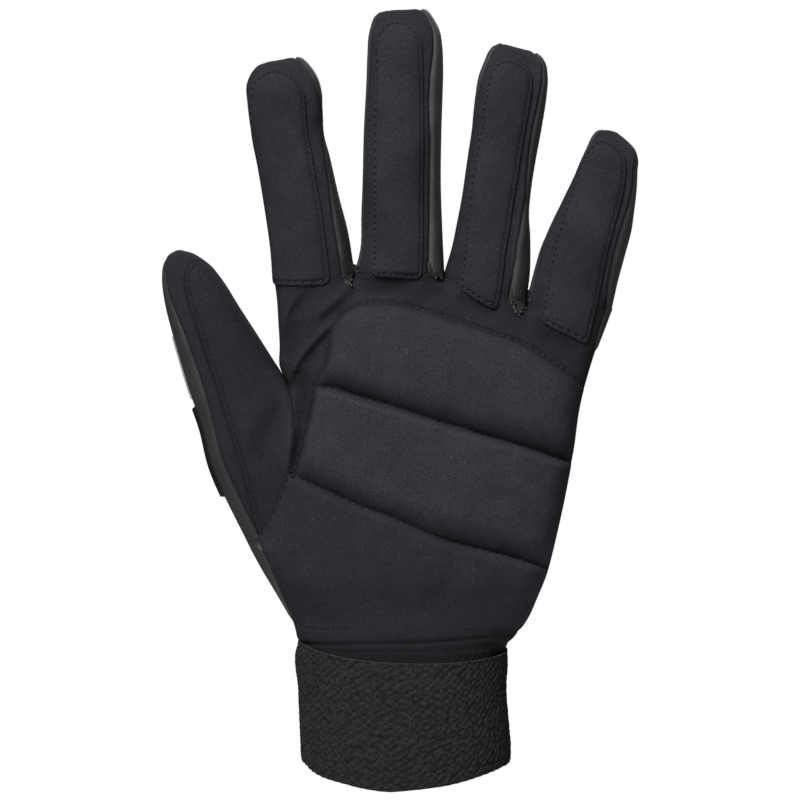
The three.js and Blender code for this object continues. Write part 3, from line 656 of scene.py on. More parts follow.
def stitches(name, centres, along, up, sizes, material, slot):
    """A row of stitches: at each centre a short rounded bar, long along the seam and low above it.
    Its rings are ovals that close in towards both ends."""
    rings, sides = STITCH_SHAPE
    turn = np.linspace(*np.radians(STITCH_TURNS), rings)[:, None]
    angle = turns(sides)[None, :]
    reach, width = STITCH_REACH * sizes.stitch / MM, sizes.thread / MM / 2
    along = unit(along)
    side = unit(np.cross(along, up))
    shape = (-reach * np.cos(turn) + 0 * angle, width * np.sin(turn) * np.cos(angle),
             width * np.sin(turn) * np.sin(angle))
    parts = (direction[:, None, None, :] * part[None, ..., None]
             for direction, part in zip((along, side, up), shape))
    points = centres[:, None, None, :] + sum(parts)
    one = grid_faces(rings, sides, True)
    first = np.arange(len(centres))[:, None, None] * (rings * sides)
    faces = (one[None] + first).reshape(-1, 4)[:, ::-1].tolist()
    cap = np.arange(sides)
    faces += (cap[None] + first[:, 0]).tolist()
    faces += (cap[None, ::-1] + first[:, 0] + (rings - 1) * sides).tolist()
    piece = mesh_object(name, points, faces, material, slot)
    # Painted highlight at one end of each stitch and painted shade along the rest
    tones = np.array(STITCH_LIGHT_AND_SHADE)[None, :, None]
    set_tone(piece.data, np.broadcast_to(tones, points.shape[:3]))
    return piece


def laid(along, up):
    """Directions laid flat on a surface: what runs along its normals is taken out."""
    return along - up * (along * up).sum(-1, keepdims=True)


# The hand as a surface: depth in front of and behind its middle plane

EDGE_POINTS = 60


def edge_line(*parts):
    """An edge of the hand as rising heights and the x at each, from curves joined end to end."""
    lines = [curve_through(part, EDGE_POINTS) for part in parts]
    whole = np.concatenate([lines[0]] + [line[1:] for line in lines[1:]])
    return whole[:, 1], whole[:, 0]


FRONT_LEFT = edge_line(LOWER_LEFT, THUMB_SEAM, INDEX_SIDE)
BACK_LEFT = edge_line(LOWER_LEFT, (THUMB_SEAM[0], THUMB_SEAM[-1]), INDEX_SIDE)
RIGHT_EDGE = edge_line(RIGHT_SIDE)
ROOTS = np.array([FINGER_SIDES[name][0][0] for name in FINGERS] + [FINGER_SIDES["little"][1][0]])
FINGER_ROUND = 2.25
DEPTH_SHARE = 0.82
THUMB_ROUND = 2.4

# How the hand turns into the finger roots, and how the valleys between them fill up from below
ROOT_FADE = 11.0
VALLEY_FADE = 4.5
VALLEY_FILL = 6.5
VALLEY_ROUND = 5
OPEN_LIMIT = 0.99


def fold_depth(z):
    """Half depth of the open side where the thumb is set in: an oval along the thumb's fold."""
    low, high = THUMB_SIDES[0][0][1], THUMB_SIDES[1][0][1]
    return THUMB_DEPTHS[0] * oval(share_across(z, low, high), THUMB_ROUND)


def root_depth(x, left, right):
    """Half depth of the row of finger roots: an oval for each finger, meeting between them, the outer
    two drawn out to the hand's edges."""
    last = len(FINGERS) - 1
    k = np.clip(np.searchsorted(ROOTS[:, 0], x) - 1, 0, last)
    half = np.linalg.norm(ROOTS[k + 1] - ROOTS[k], axis=-1) / 2
    low = np.where(k == 0, left, ROOTS[k, 0])
    high = np.where(k == last, right, ROOTS[k + 1, 0])
    return DEPTH_SHARE * half * oval(share_across(x, low, high), FINGER_ROUND)


def hand_depth(x, z, left_edge, depths):
    """Half depth of the hand: an oval between its edges, open on the thumb's side, which turns into
    the finger roots at the top. The valleys between the roots are filled up from below, by the root
    of a sum of high powers."""
    left, right = np.interp(z, *left_edge), np.interp(z, *RIGHT_EDGE)
    share = share_across(x, left, right)
    full = smooth(HAND_HEIGHTS, depths, z)
    power = np.interp(z, HAND_HEIGHTS, HAND_ROUNDS)
    reach = oval(np.clip(fold_depth(z) / full, 0, OPEN_LIMIT), power)
    body = full * oval(np.where(share < 0, share * reach, share), power)
    below = np.interp(x, ROOTS[:, 0], ROOTS[:, 1]) - z
    filled = VALLEY_FILL * ease(0, VALLEY_FADE, below) * body / full
    powers = root_depth(x, left, right) ** VALLEY_ROUND + filled ** VALLEY_ROUND
    roots = powers ** (1 / VALLEY_ROUND)
    return body + (roots - body) * (1 - ease(0, ROOT_FADE, below))


# Widths of the pads' slopes at their seams, and the heights over which the heel's pad rises
TOP_SLOPE = 6.5
CREASE_SLOPE = 9
LIP_SLOPE = 2.4
LEFT_SLOPE = 3
SIDE_SLOPE = 9
SIDE_REACH = 1.5
HEEL_SLOPE = 12
HEEL_RISE = (42, 66)


def pad_shares(x, z):
    """How full each pad stands at a place, from 0 at its seams to 1: a wide sine slope down to the
    crease below it, and narrow quarter circles up from its other seams."""
    top, upper, lower, left = (beside(line, x, z)[0] for line in PAD_LINES)
    side = ramp(np.interp(z, *RIGHT_EDGE) - x + SIDE_REACH, SIDE_SLOPE)
    heel = ramp(x - np.interp(z, *FRONT_LEFT), HEEL_SLOPE) * ease(*HEEL_RISE, z)
    return {
        "upper_pad": ramp(-top, TOP_SLOPE) * swell(upper, CREASE_SLOPE) * side,
        "middle_pad": ramp(-upper, LIP_SLOPE) * swell(lower, CREASE_SLOPE) * ramp(left, LEFT_SLOPE) * side,
        "heel_pad": ramp(-lower, LIP_SLOPE) * heel * side,
    }


# Folds: points on each line, how they fade at its ends, and the depth that they don't pass
FOLD_POINTS = 24
FOLD_TAPER = 0.6
FOLD_FLOOR = 1.9
SUEDE_RIPPLES = ((0.16, 17), (0.07, 6.1))


def fold_shapes(x, z):
    """Each fold's depth and how much of it stands at a place: a bell across it that fades at its ends."""
    for line, depth, width in FOLDS:
        distance, share = beside(line, x, z, FOLD_POINTS)
        yield depth, bell(distance, width) * np.sin(np.pi * share) ** FOLD_TAPER


def relief(x, z, sizes):
    """How far the front stands out over the hand's plain form: pads, sewn lines, folds and unevenness."""
    height = sum(getattr(sizes, name) / MM * share for name, share in pad_shares(x, z).items())
    for line, depth in zip(PAD_LINES, SEWN_DEPTHS):
        height = height - depth * bell(beside(line, x, z)[0], SEWN_WIDTH)
    for depth, shape in fold_shapes(x, z):
        height = height + depth * shape
    height = np.where(height < 0, FOLD_FLOOR * np.tanh(height / FOLD_FLOOR), height)
    return height + unevenness(x, z, *SUEDE_RIPPLES)


# Lightness of the suede: its nap swept lighter and darker in wide areas, and painted shade in folds and at the finger
# roots
NAP_SWEEP = 0.14
NAP_LENGTH = 33
FOLD_SHADE = 0.58
FOLD_SHADE_DEPTHS = (-2, 3)
ROOT_SHADE = 0.17

# Painted light and shade of the palm, with widths and heights in millimetres
PAD_PAINTED_LIGHT = 0.42
SEAM_SHADE = 0.4
SEAM_SHADE_WIDTH = 0.6
CREASE_SHADE = 0.3
CREASE_REACH = 2.6
CREASE_EDGE = (-0.4, 0.3)
CREASE_ENDS = (0.04, 0.98)
LIP_HIGHLIGHT = 0.1
LIP_PLACE = 1.3
LIP_WIDTH = 1.0
HEEL_PAINTED_LIGHT = 0.7
HEEL_SIDE = 18
HEEL_FADE = (60, 85)


def nap_sweep_and_fold_shade(x, z):
    """Lightness of suede at a place: painted shade in its folds, and the nap swept lighter and darker in wide areas.
    """
    tone = 1 + NAP_SWEEP / 2 * ripple(x, z, NAP_LENGTH)
    for depth, shape in fold_shapes(x, z):
        dark = np.clip(-depth, *FOLD_SHADE_DEPTHS) / FOLD_SHADE_DEPTHS[1]
        tone = tone * (1 - FOLD_SHADE * dark * shape)
    return tone


def palm_light_and_shade(x, z):
    """Lightness of the palm: painted light over the pads and the heel's right side, painted shade in
    sewn lines and just above each crease, and a painted highlight on the lip below it."""
    shares = pad_shares(x, z)
    # Painted light over the pads
    tone = 1 + PAD_PAINTED_LIGHT * (shares["upper_pad"] + shares["middle_pad"])
    for line in (PAD_TOP_LINE, PAD_LEFT_LINE):
        tone = tone * (1 - SEAM_SHADE * bell(beside(line, x, z)[0], SEAM_SHADE_WIDTH))
    # Painted shade just above each crease and a painted highlight on the lip below it
    for line in (UPPER_CREASE, LOWER_CREASE):
        distance, share = beside(line, x, z)
        within = ease(0, CREASE_ENDS[0], share) * (1 - ease(CREASE_ENDS[1], 1, share))
        above = np.exp(-np.abs(distance) / CREASE_REACH) * ease(*CREASE_EDGE, distance)
        lip = bell(distance + LIP_PLACE, LIP_WIDTH)
        tone = tone * (1 - CREASE_SHADE * above * within) * (1 + LIP_HIGHLIGHT * lip * within)
    # Painted light on the heel's right side, fading out upwards
    side = 1 - ease(0, HEEL_SIDE, np.interp(z, *RIGHT_EDGE) - x)
    tone = tone * (1 + HEEL_PAINTED_LIGHT * side * (1 - ease(*HEEL_FADE, z)))
    return tone * nap_sweep_and_fold_shade(x, z)


# The relief fades out at the hand's edge and at the wrist
EDGE_SETTLE = 5
WRIST_SETTLE = (PALM_BOTTOM - 1, PALM_BOTTOM + 15)


def palm_point(x, z, sizes):
    """A point of the palm's skin at a place: the hand's front with its relief."""
    depth = hand_depth(x, z, FRONT_LEFT, FRONT_DEPTHS)
    rise = relief(x, z, sizes) * ease(0, EDGE_SETTLE, depth) * ease(*WRIST_SETTLE, z)
    return packed(x, -depth - rise, z)


def palm_frame(places, sizes, step=0.3):
    """Points and outward normals of the palm's skin at places, from small steps on it."""
    x, z = np.asarray(places).T
    here = palm_point(x, z, sizes)
    slope_x = palm_point(x + step, z, sizes)[:, 1] - palm_point(x - step, z, sizes)[:, 1]
    slope_z = palm_point(x, z + step, sizes)[:, 1] - palm_point(x, z - step, sizes)[:, 1]
    return here, unit(packed(slope_x, np.full_like(x, -2 * step), slope_z))


TOP_SPREAD = 0.1


def hand_places(left_edge, columns, rows, bottom):
    """Places of a grid over the hand: columns run from its wrist to the finger roots, close together
    between the fingers at the top and evenly spread at the wrist."""
    angles = np.radians(np.linspace(-90, 90, columns // len(FINGERS), endpoint=False))
    across = (1 + bent_power(np.sin(angles), FINGER_ROUND)) / 2
    tops = [low + (high - low) * across[:, None] for low, high in zip(ROOTS[:-1], ROOTS[1:])]
    top = np.concatenate(tops + [ROOTS[-1:]])
    up = np.linspace(0, 1, rows)[:, None]
    z = bottom + (top[None, :, 1] - bottom) * up
    left, right = np.interp(z, *left_edge), np.interp(z, *RIGHT_EDGE)
    even = np.linspace(0, 1, len(top))
    even = (1 - np.cos(np.pi * even)) / 4 + even / 2
    top_left, top_right = (np.interp(top[:, 1], *edge) for edge in (left_edge, RIGHT_EDGE))
    at_top = np.clip((top[:, 0] - top_left) / (top_right - top_left), 0, 1)
    share = even + (at_top - even) * ease(TOP_SPREAD, 1, up)
    return left + (right - left) * share, z


# Fingers and thumb as tubes

# The end of a tube: where its depth closes in and how far, its cap, and its thinner skin
TIP_START = 0.78
TIP_NARROW = 0.12
TIP_CLOSE = 0.75
TIP_CAP = 0.06
TIP_DOME = 0.05
TIP_THIN = 0.92

# Unevenness of a finger's front, and where it fades out at the root and the tip
FINGER_RIPPLES = ((0.22, 14), (0.1, 5.3))
ROOT_SETTLE = 0.12
TIP_SETTLE = 0.9


def side_points(tube, v):
    """Left and right sides of a tube at its stations, held still past its end."""
    held = np.minimum(v, tube["stations"][-1])
    return [smooth(tube["stations"], side, held) for side in tube["sides"]]


def tube_point(tube, angle, v):
    """A point round a tube: an oval between its sides, and over its end a cap whose depth closes in
    while it rises by the dome. Angles start at the palm side and grow to the right."""
    left, right = side_points(tube, v)
    end = tube["stations"][-1]
    cap = np.clip((v - end) / TIP_CAP, 0, 1)
    across, middle = (right - left) / 2, (left + right) / 2
    half = np.linalg.norm(across, axis=-1)
    up = unit(packed(-across[..., 1], across[..., 0]))
    depth = tube["depth"](np.minimum(v, end), half) * np.sqrt(1 - cap ** 2)
    dome = TIP_DOME * half * cap * np.cos(angle) ** 2
    place = middle + across * bent_power(np.sin(angle), tube["round"])[..., None] + up * dome[..., None]
    deep = depth * bent_power(np.cos(angle), tube["round"])
    return packed(place[..., 0], -deep, place[..., 1])


def finger_depth(v, half_width):
    """Half depth of a finger: a share of its half width, rounded down towards its end."""
    tip = np.clip((v - TIP_START) / (1 - TIP_START), 0, 1)
    return DEPTH_SHARE * half_width * (1 - TIP_NARROW * tip ** 2) * np.sqrt(1 - TIP_CLOSE * tip ** 3)


def thumb_depth(v, half_width):
    """Half depth of the thumb at its stations, whatever its width."""
    return smooth(THUMB_STATIONS, THUMB_DEPTHS, v)


def shares_along(sides):
    """Shares of a tube's length at the points of its sides, by the mean length of the two."""
    steps = np.linalg.norm(np.diff(np.array(sides), axis=1), axis=-1).mean(0)
    return np.append(0, np.cumsum(steps)) / steps.sum()


def finger_tube(name):
    """A finger's tube."""
    sides = FINGER_SIDES[name]
    return {"stations": shares_along(sides), "sides": sides, "depth": finger_depth, "round": FINGER_ROUND}


THUMB_TUBE = {"stations": THUMB_STATIONS, "sides": THUMB_SIDES, "depth": thumb_depth, "round": THUMB_ROUND}
THUMB_SETTLE = 0.42
THUMB_SEAM_POINTS = 200


def tube_middle(tube, v):
    """Middle of a tube's rings."""
    left, right = side_points(tube, v)
    middle = (left + right) / 2
    return at_depth(*plane(middle), 0.0)


def finger_front(name, angle, v):
    """A point round a finger: on its tube, with soft unevenness on the palm side."""
    points = tube_point(finger_tube(name), angle, v)
    soft = unevenness(*plane(points), *FINGER_RIPPLES) * np.cos(angle).clip(0)
    points[..., 1] -= soft * ease(0, ROOT_SETTLE, v) * (1 - ease(TIP_SETTLE, 1, v))
    return points


def thumb_point(angle, v, sizes):
    """A point of the thumb. Its front starts at the curved seam in the palm and settles into the
    tube's straight rings, and carries the folds of the palm."""
    points = tube_point(THUMB_TUBE, angle, v)
    front = np.cos(angle) > 0
    low, high = np.array(THUMB_SEAM[0]), np.array(THUMB_SEAM[-1])
    share = (bent_power(np.sin(angle), THUMB_ROUND) + 1) / 2
    straight = low + (high - low) * share[..., None]
    seam = curve_through(THUMB_SEAM, THUMB_SEAM_POINTS)
    curved = np.interp(straight[..., 1], seam[:, 1], seam[:, 0])
    points[..., 0] += (curved - straight[..., 0]) * (1 - ease(0, THUMB_SETTLE, v)) * front
    folds = relief(*plane(points), sizes) * ease(0, EDGE_SETTLE, -points[..., 1])
    points[..., 1] -= np.where(front, folds, 0)
    return points


def frame_on(surface, first, second, middle, step=0.004):
    """Points of a surface at two numbers, normals away from the middle, and its two directions."""
    here = surface(first, second)
    one = surface(first + step, second) - surface(first - step, second)
    two = surface(first, second + step) - surface(first, second - step)
    up = unit(np.cross(one, two))
    up *= np.sign((up * (here - middle)).sum(-1, keepdims=True))
    return here, up, one, two


# Seams between panels: width, depth, the share of it that the bead beside them rises, and their shade
SEAM_WIDTH = 1.1
SEAM_DEPTH = 0.42
BEAD_SHARE = 0.3
PANEL_SHADE = 0.35
PANEL_SHADE_WIDTH = 0.7


def seam_dip(run, depth):
    """Lift at a distance from a panel's edge that turns it in to its seam, with a low bead beside it: a
    narrow dip at the edge and a lower, wider rise next to it."""
    bead = BEAD_SHARE * bell(run - 1.5 * SEAM_WIDTH, SEAM_WIDTH)
    return depth * (bead - bell(run, 0.5 * SEAM_WIDTH))


def both_edges(points):
    """Distances along each row of a panel from its first and from its last column."""
    run = arc_length(points)
    return run, run[:, -1:] - run


def seam_shade_tone(points, base):
    """Lightness of a panel: its base, and painted shade close to its two seams."""
    first, last = (1 - PANEL_SHADE * bell(run, PANEL_SHADE_WIDTH) for run in both_edges(points))
    return base * first * last


def tube_panel(point, tube, seams, v, columns):
    """A panel of a tube at its stations, between two seams that give angles in degrees along the tube.
    Its edges are turned in to the seams."""
    v = v[:, None]
    low, high = (np.radians(np.interp(v, *seam)) for seam in seams)
    angle = low + (high - low) * np.linspace(0, 1, columns)[None, :]
    points = point(angle, v + 0 * angle)
    middle = tube_middle(tube, v)
    lift = sum(seam_dip(run, SEAM_DEPTH) for run in both_edges(points))
    return points + normals(points, middle) * lift[..., None], middle


# Materials

NOISE_RANGE = (0.3, 0.7)
GROUP_OUTPUTS = (("Colour", "Color"), ("Height", "Float"), ("Roughness", "Float"))


def node_group(name, *extra):
    """An empty shader node group of a finish: it takes a colour, a vector and what is extra, and puts
    out a colour, a height and a roughness."""
    group = bpy.data.node_groups.new(name, "ShaderNodeTree")
    inputs = (("Colour", "Color"), ("Vector", "Vector"), *extra)
    for way, sockets in (("INPUT", inputs), ("OUTPUT", GROUP_OUTPUTS)):
        for socket, kind in sockets:
            group.interface.new_socket(name=socket, in_out=way, socket_type=f"NodeSocket{kind}")
    return group, group.nodes.new("NodeGroupInput"), group.nodes.new("NodeGroupOutput")


def put_out(group, start, end, tone, height, roughness):
    """Links a group's colour times its tone, its height and its roughness to its outputs."""
    results = (shaded(group, start.outputs["Colour"], tone), height, roughness)
    for (socket, _), result in zip(GROUP_OUTPUTS, results):
        group.links.new(result, end.inputs[socket])
    return group


def noise(tree, vector, scale, detail):
    """A noise texture on a vector, at a scale per metre."""
    node = tree.nodes.new("ShaderNodeTexNoise")
    node.inputs["Scale"].default_value = scale
    node.inputs["Detail"].default_value = detail
    tree.links.new(vector, node.inputs["Vector"])
    return node.outputs["Fac"]


def spread(tree, value, to_low, to_high, low=NOISE_RANGE[0], high=NOISE_RANGE[1]):
    """A value carried from one range, a noise's own unless another is given, to a new one."""
    node = tree.nodes.new("ShaderNodeMapRange")
    sockets = ("From Min", "From Max", "To Min", "To Max")
    for socket, number in zip(sockets, (low, high, to_low, to_high)):
        node.inputs[socket].default_value = number
    tree.links.new(value, node.inputs["Value"])
    return node.outputs["Result"]


def sums(tree, operation, first, second):
    """A sum of two values, each a socket or a number."""
    node = tree.nodes.new("ShaderNodeMath")
    node.operation = operation
    for socket, value in zip(node.inputs, (first, second)):
        if isinstance(value, (int, float)):
            socket.default_value = value
        else:
            tree.links.new(value, socket)
    return node.outputs["Value"]


def shaded(tree, base, factor):
    """A colour times a value."""
    node = tree.nodes.new("ShaderNodeVectorMath")
    node.operation = "SCALE"
    tree.links.new(base, node.inputs[0])
    tree.links.new(factor, node.inputs["Scale"])
    return node.outputs["Vector"]


def nap_group():
    """Brushed nap: fine fibres, soft patches where the nap lies another way, and stray light fibres."""
    group, start, end = node_group("brushed_nap", ("Fleck", "Float"))
    vector = start.outputs["Vector"]
    fibre = noise(group, vector, scale=2700, detail=3)
    patch = noise(group, vector, scale=130, detail=4)
    stray = spread(group, noise(group, vector, scale=1150, detail=1), 0, 1.1, low=0.71, high=0.78)
    brushed = sums(group, "MULTIPLY", spread(group, fibre, 0.55, 1.45), spread(group, patch, 0.86, 1.12))
    light = sums(group, "MULTIPLY", stray, start.outputs["Fleck"])
    tone = sums(group, "ADD", brushed, light)
    height = sums(group, "ADD", fibre, sums(group, "MULTIPLY", patch, 0.6))
    return put_out(group, start, end, tone, height, spread(group, patch, 0.84, 0.96))


def grain_group():
    """Smooth hide: shallow cells of grain, and slow changes of tone and polish."""
    group, start, end = node_group("hide_grain")
    vector = start.outputs["Vector"]
    cells = group.nodes.new("ShaderNodeTexVoronoi")
    cells.feature = "DISTANCE_TO_EDGE"
    cells.inputs["Scale"].default_value = 1100
    group.links.new(vector, cells.inputs["Vector"])
    tone = noise(group, vector, scale=90, detail=4)
    fine = noise(group, vector, scale=2600, detail=2)
    edge = spread(group, cells.outputs["Distance"], 0, 1, low=0, high=0.16)
    height = sums(group, "ADD", edge, sums(group, "MULTIPLY", fine, 0.5))
    polish = spread(group, tone, 0.42, 0.56)
    return put_out(group, start, end, spread(group, tone, 0.88, 1.12), height, polish)


def yarn_group():
    """Yarn: fine twisted fibres and uneven thickness."""
    group, start, end = node_group("yarn_fibre")
    vector = start.outputs["Vector"]
    fibre = noise(group, vector, scale=2300, detail=3)
    loop = noise(group, vector, scale=420, detail=3)
    tone = sums(group, "MULTIPLY", spread(group, fibre, 0.5, 1.5), spread(group, loop, 0.82, 1.2))
    height = sums(group, "ADD", fibre, loop)
    return put_out(group, start, end, tone, height, spread(group, loop, 0.88, 1.0))


def finish(name, base, group, bump, depth, fleck=None, specular=0.5, toned=False):
    """A material whose colour, roughness and bump come from a node group on Object coordinates, and
    whose lightness may follow the tone of its mesh. The bump's depth is in millimetres."""
    material = bpy.data.materials.new(name)
    material.use_nodes = True
    tree = material.node_tree
    shader = tree.nodes["Principled BSDF"]
    where = tree.nodes.new("ShaderNodeTexCoord")
    effect = tree.nodes.new("ShaderNodeGroup")
    effect.node_tree = group
    effect.inputs["Colour"].default_value = (*base, 1)
    if fleck is not None:
        effect.inputs["Fleck"].default_value = fleck
    tree.links.new(where.outputs["Object"], effect.inputs["Vector"])
    result = effect.outputs["Colour"]
    if toned:
        tone = tree.nodes.new("ShaderNodeAttribute")
        tone.attribute_name = "tone"
        result = shaded(tree, result, tone.outputs["Fac"])
    tree.links.new(result, shader.inputs["Base Color"])
    tree.links.new(effect.outputs["Roughness"], shader.inputs["Roughness"])
    raised = tree.nodes.new("ShaderNodeBump")
    raised.inputs["Strength"].default_value = bump
    raised.inputs["Distance"].default_value = depth * MM
    tree.links.new(effect.outputs["Height"], raised.inputs["Height"])
    tree.links.new(raised.outputs["Normal"], shader.inputs["Normal"])
    shader.inputs["Specular IOR Level"].default_value = specular
    return material


# Each finish: its name, its node group, the strength and depth of its bump in millimetres, the share of
# light flecks, its specular level, and whether it follows the tone of its mesh
FINISHES = {
    "suede": ("black_suede", nap_group, 0.5, 0.25, 0.9, 0.15, True),
    "patch": ("patch_suede", nap_group, 0.5, 0.25, 0.8, 0.15, True),
    "hide": ("smooth_hide", grain_group, 0.25, 0.12, None, 0.5, True),
    "knit": ("cuff_yarn", yarn_group, 0.8, 0.4, None, 0.15, True),
    "lining": ("tricot_lining", yarn_group, 0.4, 0.2, None, 0.2, False),
    "foam": ("pad_foam", yarn_group, 0.3, 0.2, None, 0.2, False),
    "cord": ("seam_cord", yarn_group, 0.3, 0.08, None, 0.2, False),
    "tack": ("frayed_thread", yarn_group, 0.3, 0.08, None, 0.3, True),
    "thread": ("sewing_thread", yarn_group, 0.3, 0.08, None, 0.3, True),
    "pale_guard": ("pale_rubber", grain_group, 0.1, 0.05, None, 0.5, False),
    "black_guard": ("black_rubber", grain_group, 0.1, 0.05, None, 0.25, False),
}
MATERIALS = {}


def material(name):
    """A finished material of the glove by name. All are made when the first is asked for, each effect's
    node group once."""
    if not MATERIALS:
        colours = bpy.context.scene.glove_colours
        groups = {make: make() for make in (nap_group, grain_group, yarn_group)}
        for key, (title, make, *values) in FINISHES.items():
            MATERIALS[key] = finish(title, getattr(colours, key), groups[make], *values)
    return MATERIALS[name]


# Where the soft pieces bend

def place3(point):
    """A place in the hand's plane as a point in metres."""
    return (float(point[0]) * MM, 0.0, float(point[1]) * MM)


FINGER_SPLIT = 0.29
KNUCKLE_BEND = (0.015, 0.235)
MIDDLE_BEND = (0.39, 0.55)
THUMB_SPLIT = 0.655
FOLD_BEND = (0.0, 13.0)
TIP_BEND = (0.84, 1.16)


def finger_bend(name, low, high):
    """Two points along a finger's middle line for the bend between its lengths."""
    tube = finger_tube(name)
    ends = [tube_middle(tube, np.array(v))[[0, 2]] for v in (low, high)]
    return [place3(end) for end in ends]


def ride_finger(piece, name, part):
    """A piece of a finger's lower or upper length bends with the knuckle or the middle joint."""
    if part == "lower":
        start, end = finger_bend(name, *KNUCKLE_BEND)
        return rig.blend(piece, "hand", f"{name}_lower", start=start, end=end)
    start, end = finger_bend(name, *MIDDLE_BEND)
    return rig.blend(piece, f"{name}_lower", f"{name}_upper", start=start, end=end)


def ride_thumb(piece, part):
    """A piece of the thumb's lower or upper length bends with its fold or its joint."""
    if part == "lower":
        low, high = np.array(THUMB_SEAM[0]), np.array(THUMB_SEAM[-1])
        along = (high - low) / np.linalg.norm(high - low)
        outward = np.array((-along[1], along[0]))
        start, end = ((low + high) / 2 + outward * step for step in FOLD_BEND)
        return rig.blend(piece, "hand", "thumb_base", start=place3(start), end=place3(end))
    start, end = (tube_middle(THUMB_TUBE, np.array(v))[[0, 2]] for v in TIP_BEND)
    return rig.blend(piece, "thumb_base", "thumb_tip", start=place3(start), end=place3(end))


# Pieces

# Columns and rows of the hand's skins, and how far off their middles lie, which they face away from
PALM_GRID = (184, 214)
BACK_GRID = (96, 110)
LINING_GRID = (64, 60)
FAR = 30

# The palm's cloth: its coarser grid, its simulation, and the most that a point moves in millimetres
CLOTH_STRIDE = 2
CLOTH_FRAMES = 20
CLOTH_PRESSURE = 4.0
CLOTH_CAP = 0.7
HELD_LEVELS = 20


def swollen(points, free):
    """How far the palm's suede moves as cloth under the pads' pressure, held wherever no pad lies: the
    simulation runs on every second row and column, and its moves are capped and spread to the rest."""
    scene = bpy.context.scene
    coarse = points[::CLOTH_STRIDE, ::CLOTH_STRIDE]
    held = 1 - np.clip(free, 0, 1)[::CLOTH_STRIDE, ::CLOTH_STRIDE]
    rows, columns = coarse.shape[:2]
    faces = grid_faces(rows, columns).tolist()
    cloth = mesh_object("palm_cloth", coarse, faces, material("suede"), "suede")
    group = cloth.vertex_groups.new(name="held")
    levels = np.round(held.ravel() * HELD_LEVELS).astype(int)
    for level in range(HELD_LEVELS + 1):
        group.add(np.flatnonzero(levels == level).tolist(), level / HELD_LEVELS, "REPLACE")
    settings = cloth.modifiers.new("cloth", "CLOTH").settings
    settings.vertex_group_mass = group.name
    settings.use_pressure = True
    settings.uniform_pressure_force = CLOTH_PRESSURE
    settings.effector_weights.gravity = 0
    for moment in range(1, CLOTH_FRAMES + 1):
        scene.frame_set(moment)
    shape = cloth.evaluated_get(bpy.context.evaluated_depsgraph_get()).data
    after = np.zeros(3 * rows * columns)
    shape.vertices.foreach_get("co", after)
    moves = after.reshape(rows, columns, 3) / MM - coarse
    bpy.data.meshes.remove(cloth.data)
    scene.frame_set(1)
    moved = np.linalg.norm(moves, axis=-1, keepdims=True)
    moves *= CLOTH_CAP * np.tanh(moved / CLOTH_CAP) / np.maximum(moved, TINY)
    for axis in (0, 1):
        last = moves.shape[axis] - 1
        at = np.minimum(np.arange(points.shape[axis]) / CLOTH_STRIDE, last)
        low = np.floor(at).astype(int)
        part = np.expand_dims(at - low, (1 - axis, 2))
        high = np.minimum(low + 1, last)
        moves = np.take(moves, low, axis) * (1 - part) + np.take(moves, high, axis) * part
    return moves


ROOT_SHADE_WIDTH = 5


def make_palm(sizes):
    """The palm's suede: the hand's front with pads, creases and folds, on a grid of the hand's places."""
    x, z = hand_places(FRONT_LEFT, *PALM_GRID, PALM_BOTTOM)
    points = palm_point(x, z, sizes)
    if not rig.quick():
        points = points + swollen(points, sum(pad_shares(x, z).values()))
    above, _ = beside(PAD_TOP_LINE, x, z)
    # Painted light and shade of the palm, and painted shade at the finger roots
    tone = palm_light_and_shade(x, z) * (1 - ROOT_SHADE * ease(0, ROOT_SHADE_WIDTH, above))
    middle = at_depth(x, z, FAR)
    piece = skin("palm_suede", points, middle, sizes.suede, "suede", tone=tone)
    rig.replaces(piece, "palm_panel")
    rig.ride(piece, "hand")
    make_palm_stitches(sizes)
    make_strip_ends(sizes)
    make_edge_strips(sizes)


# Rows of stitches on the palm: each a line and how far to its left they lie
PALM_ROWS = ((PAD_TOP_LINE[:5], 0), (PAD_TOP_LINE[6:], 0), (UPPER_CREASE, 0.1), (LOWER_CREASE, 0.1),
             (PAD_LEFT_LINE, 0), (THUMB_SEAM[1:5], -0.7))
ROW_POINTS = 200
EDGE_CLEAR = 2.2
PALM_SEAT = 0.1


def make_palm_stitches(sizes):
    """The stitches along the palm's sewn lines: evenly spaced places beside each line."""
    rows = []
    for line, inset in PALM_ROWS:
        curve = curve_through(line, ROW_POINTS)
        curve = curve[curve[:, 0] < np.interp(curve[:, 1], *RIGHT_EDGE) - EDGE_CLEAR]
        step = unit(np.gradient(curve, axis=0))
        left = packed(-step[:, 1], step[:, 0])
        count = int(run_along(curve)[-1] / (sizes.stitch / MM))
        rows.append(curve_through(curve + inset * left, count))
    steps = np.concatenate([np.gradient(row, axis=0) for row in rows])
    points, up = palm_frame(np.concatenate(rows), sizes)
    along = laid(at_depth(steps[:, 0], steps[:, 1], 0), up)
    seat = points + up * PALM_SEAT
    thread = stitches("palm_stitching", seat, along, up, sizes, material("thread"), "suede")
    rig.ride(thread, "hand")


# Hide that wraps from the back over the hand's edge: the edge, the heights of its top and foot, how far
# its top slants up along the edge, the share over which the top is tucked in, and its seam on the palm
EDGE_STRIPS = {
    "heel": (FRONT_LEFT, 70.4, 46.7, 3.7, 0.07,
             ((-45.6, 74.1), (-42.9, 68.3), (-40.3, 62.2), (-37.3, 54.7), (-34.7, 48.6), (-34.2, 46.7))),
    "little": (RIGHT_EDGE, 144.8, 131.0, 0, 0.01,
               ((62.1, 144.97), (61.0, 142.0), (59.9, 138.6), (58.9, 135.0), (58.5, 131.0))),
}
EDGE_GRID = (70, 28)
EDGE_TONE = 0.85
EDGE_THICKNESS = 0.5 * MM
EDGE_LIFT = 0.35
EDGE_TUCK = 0.3
EDGE_FOOT = 0.85


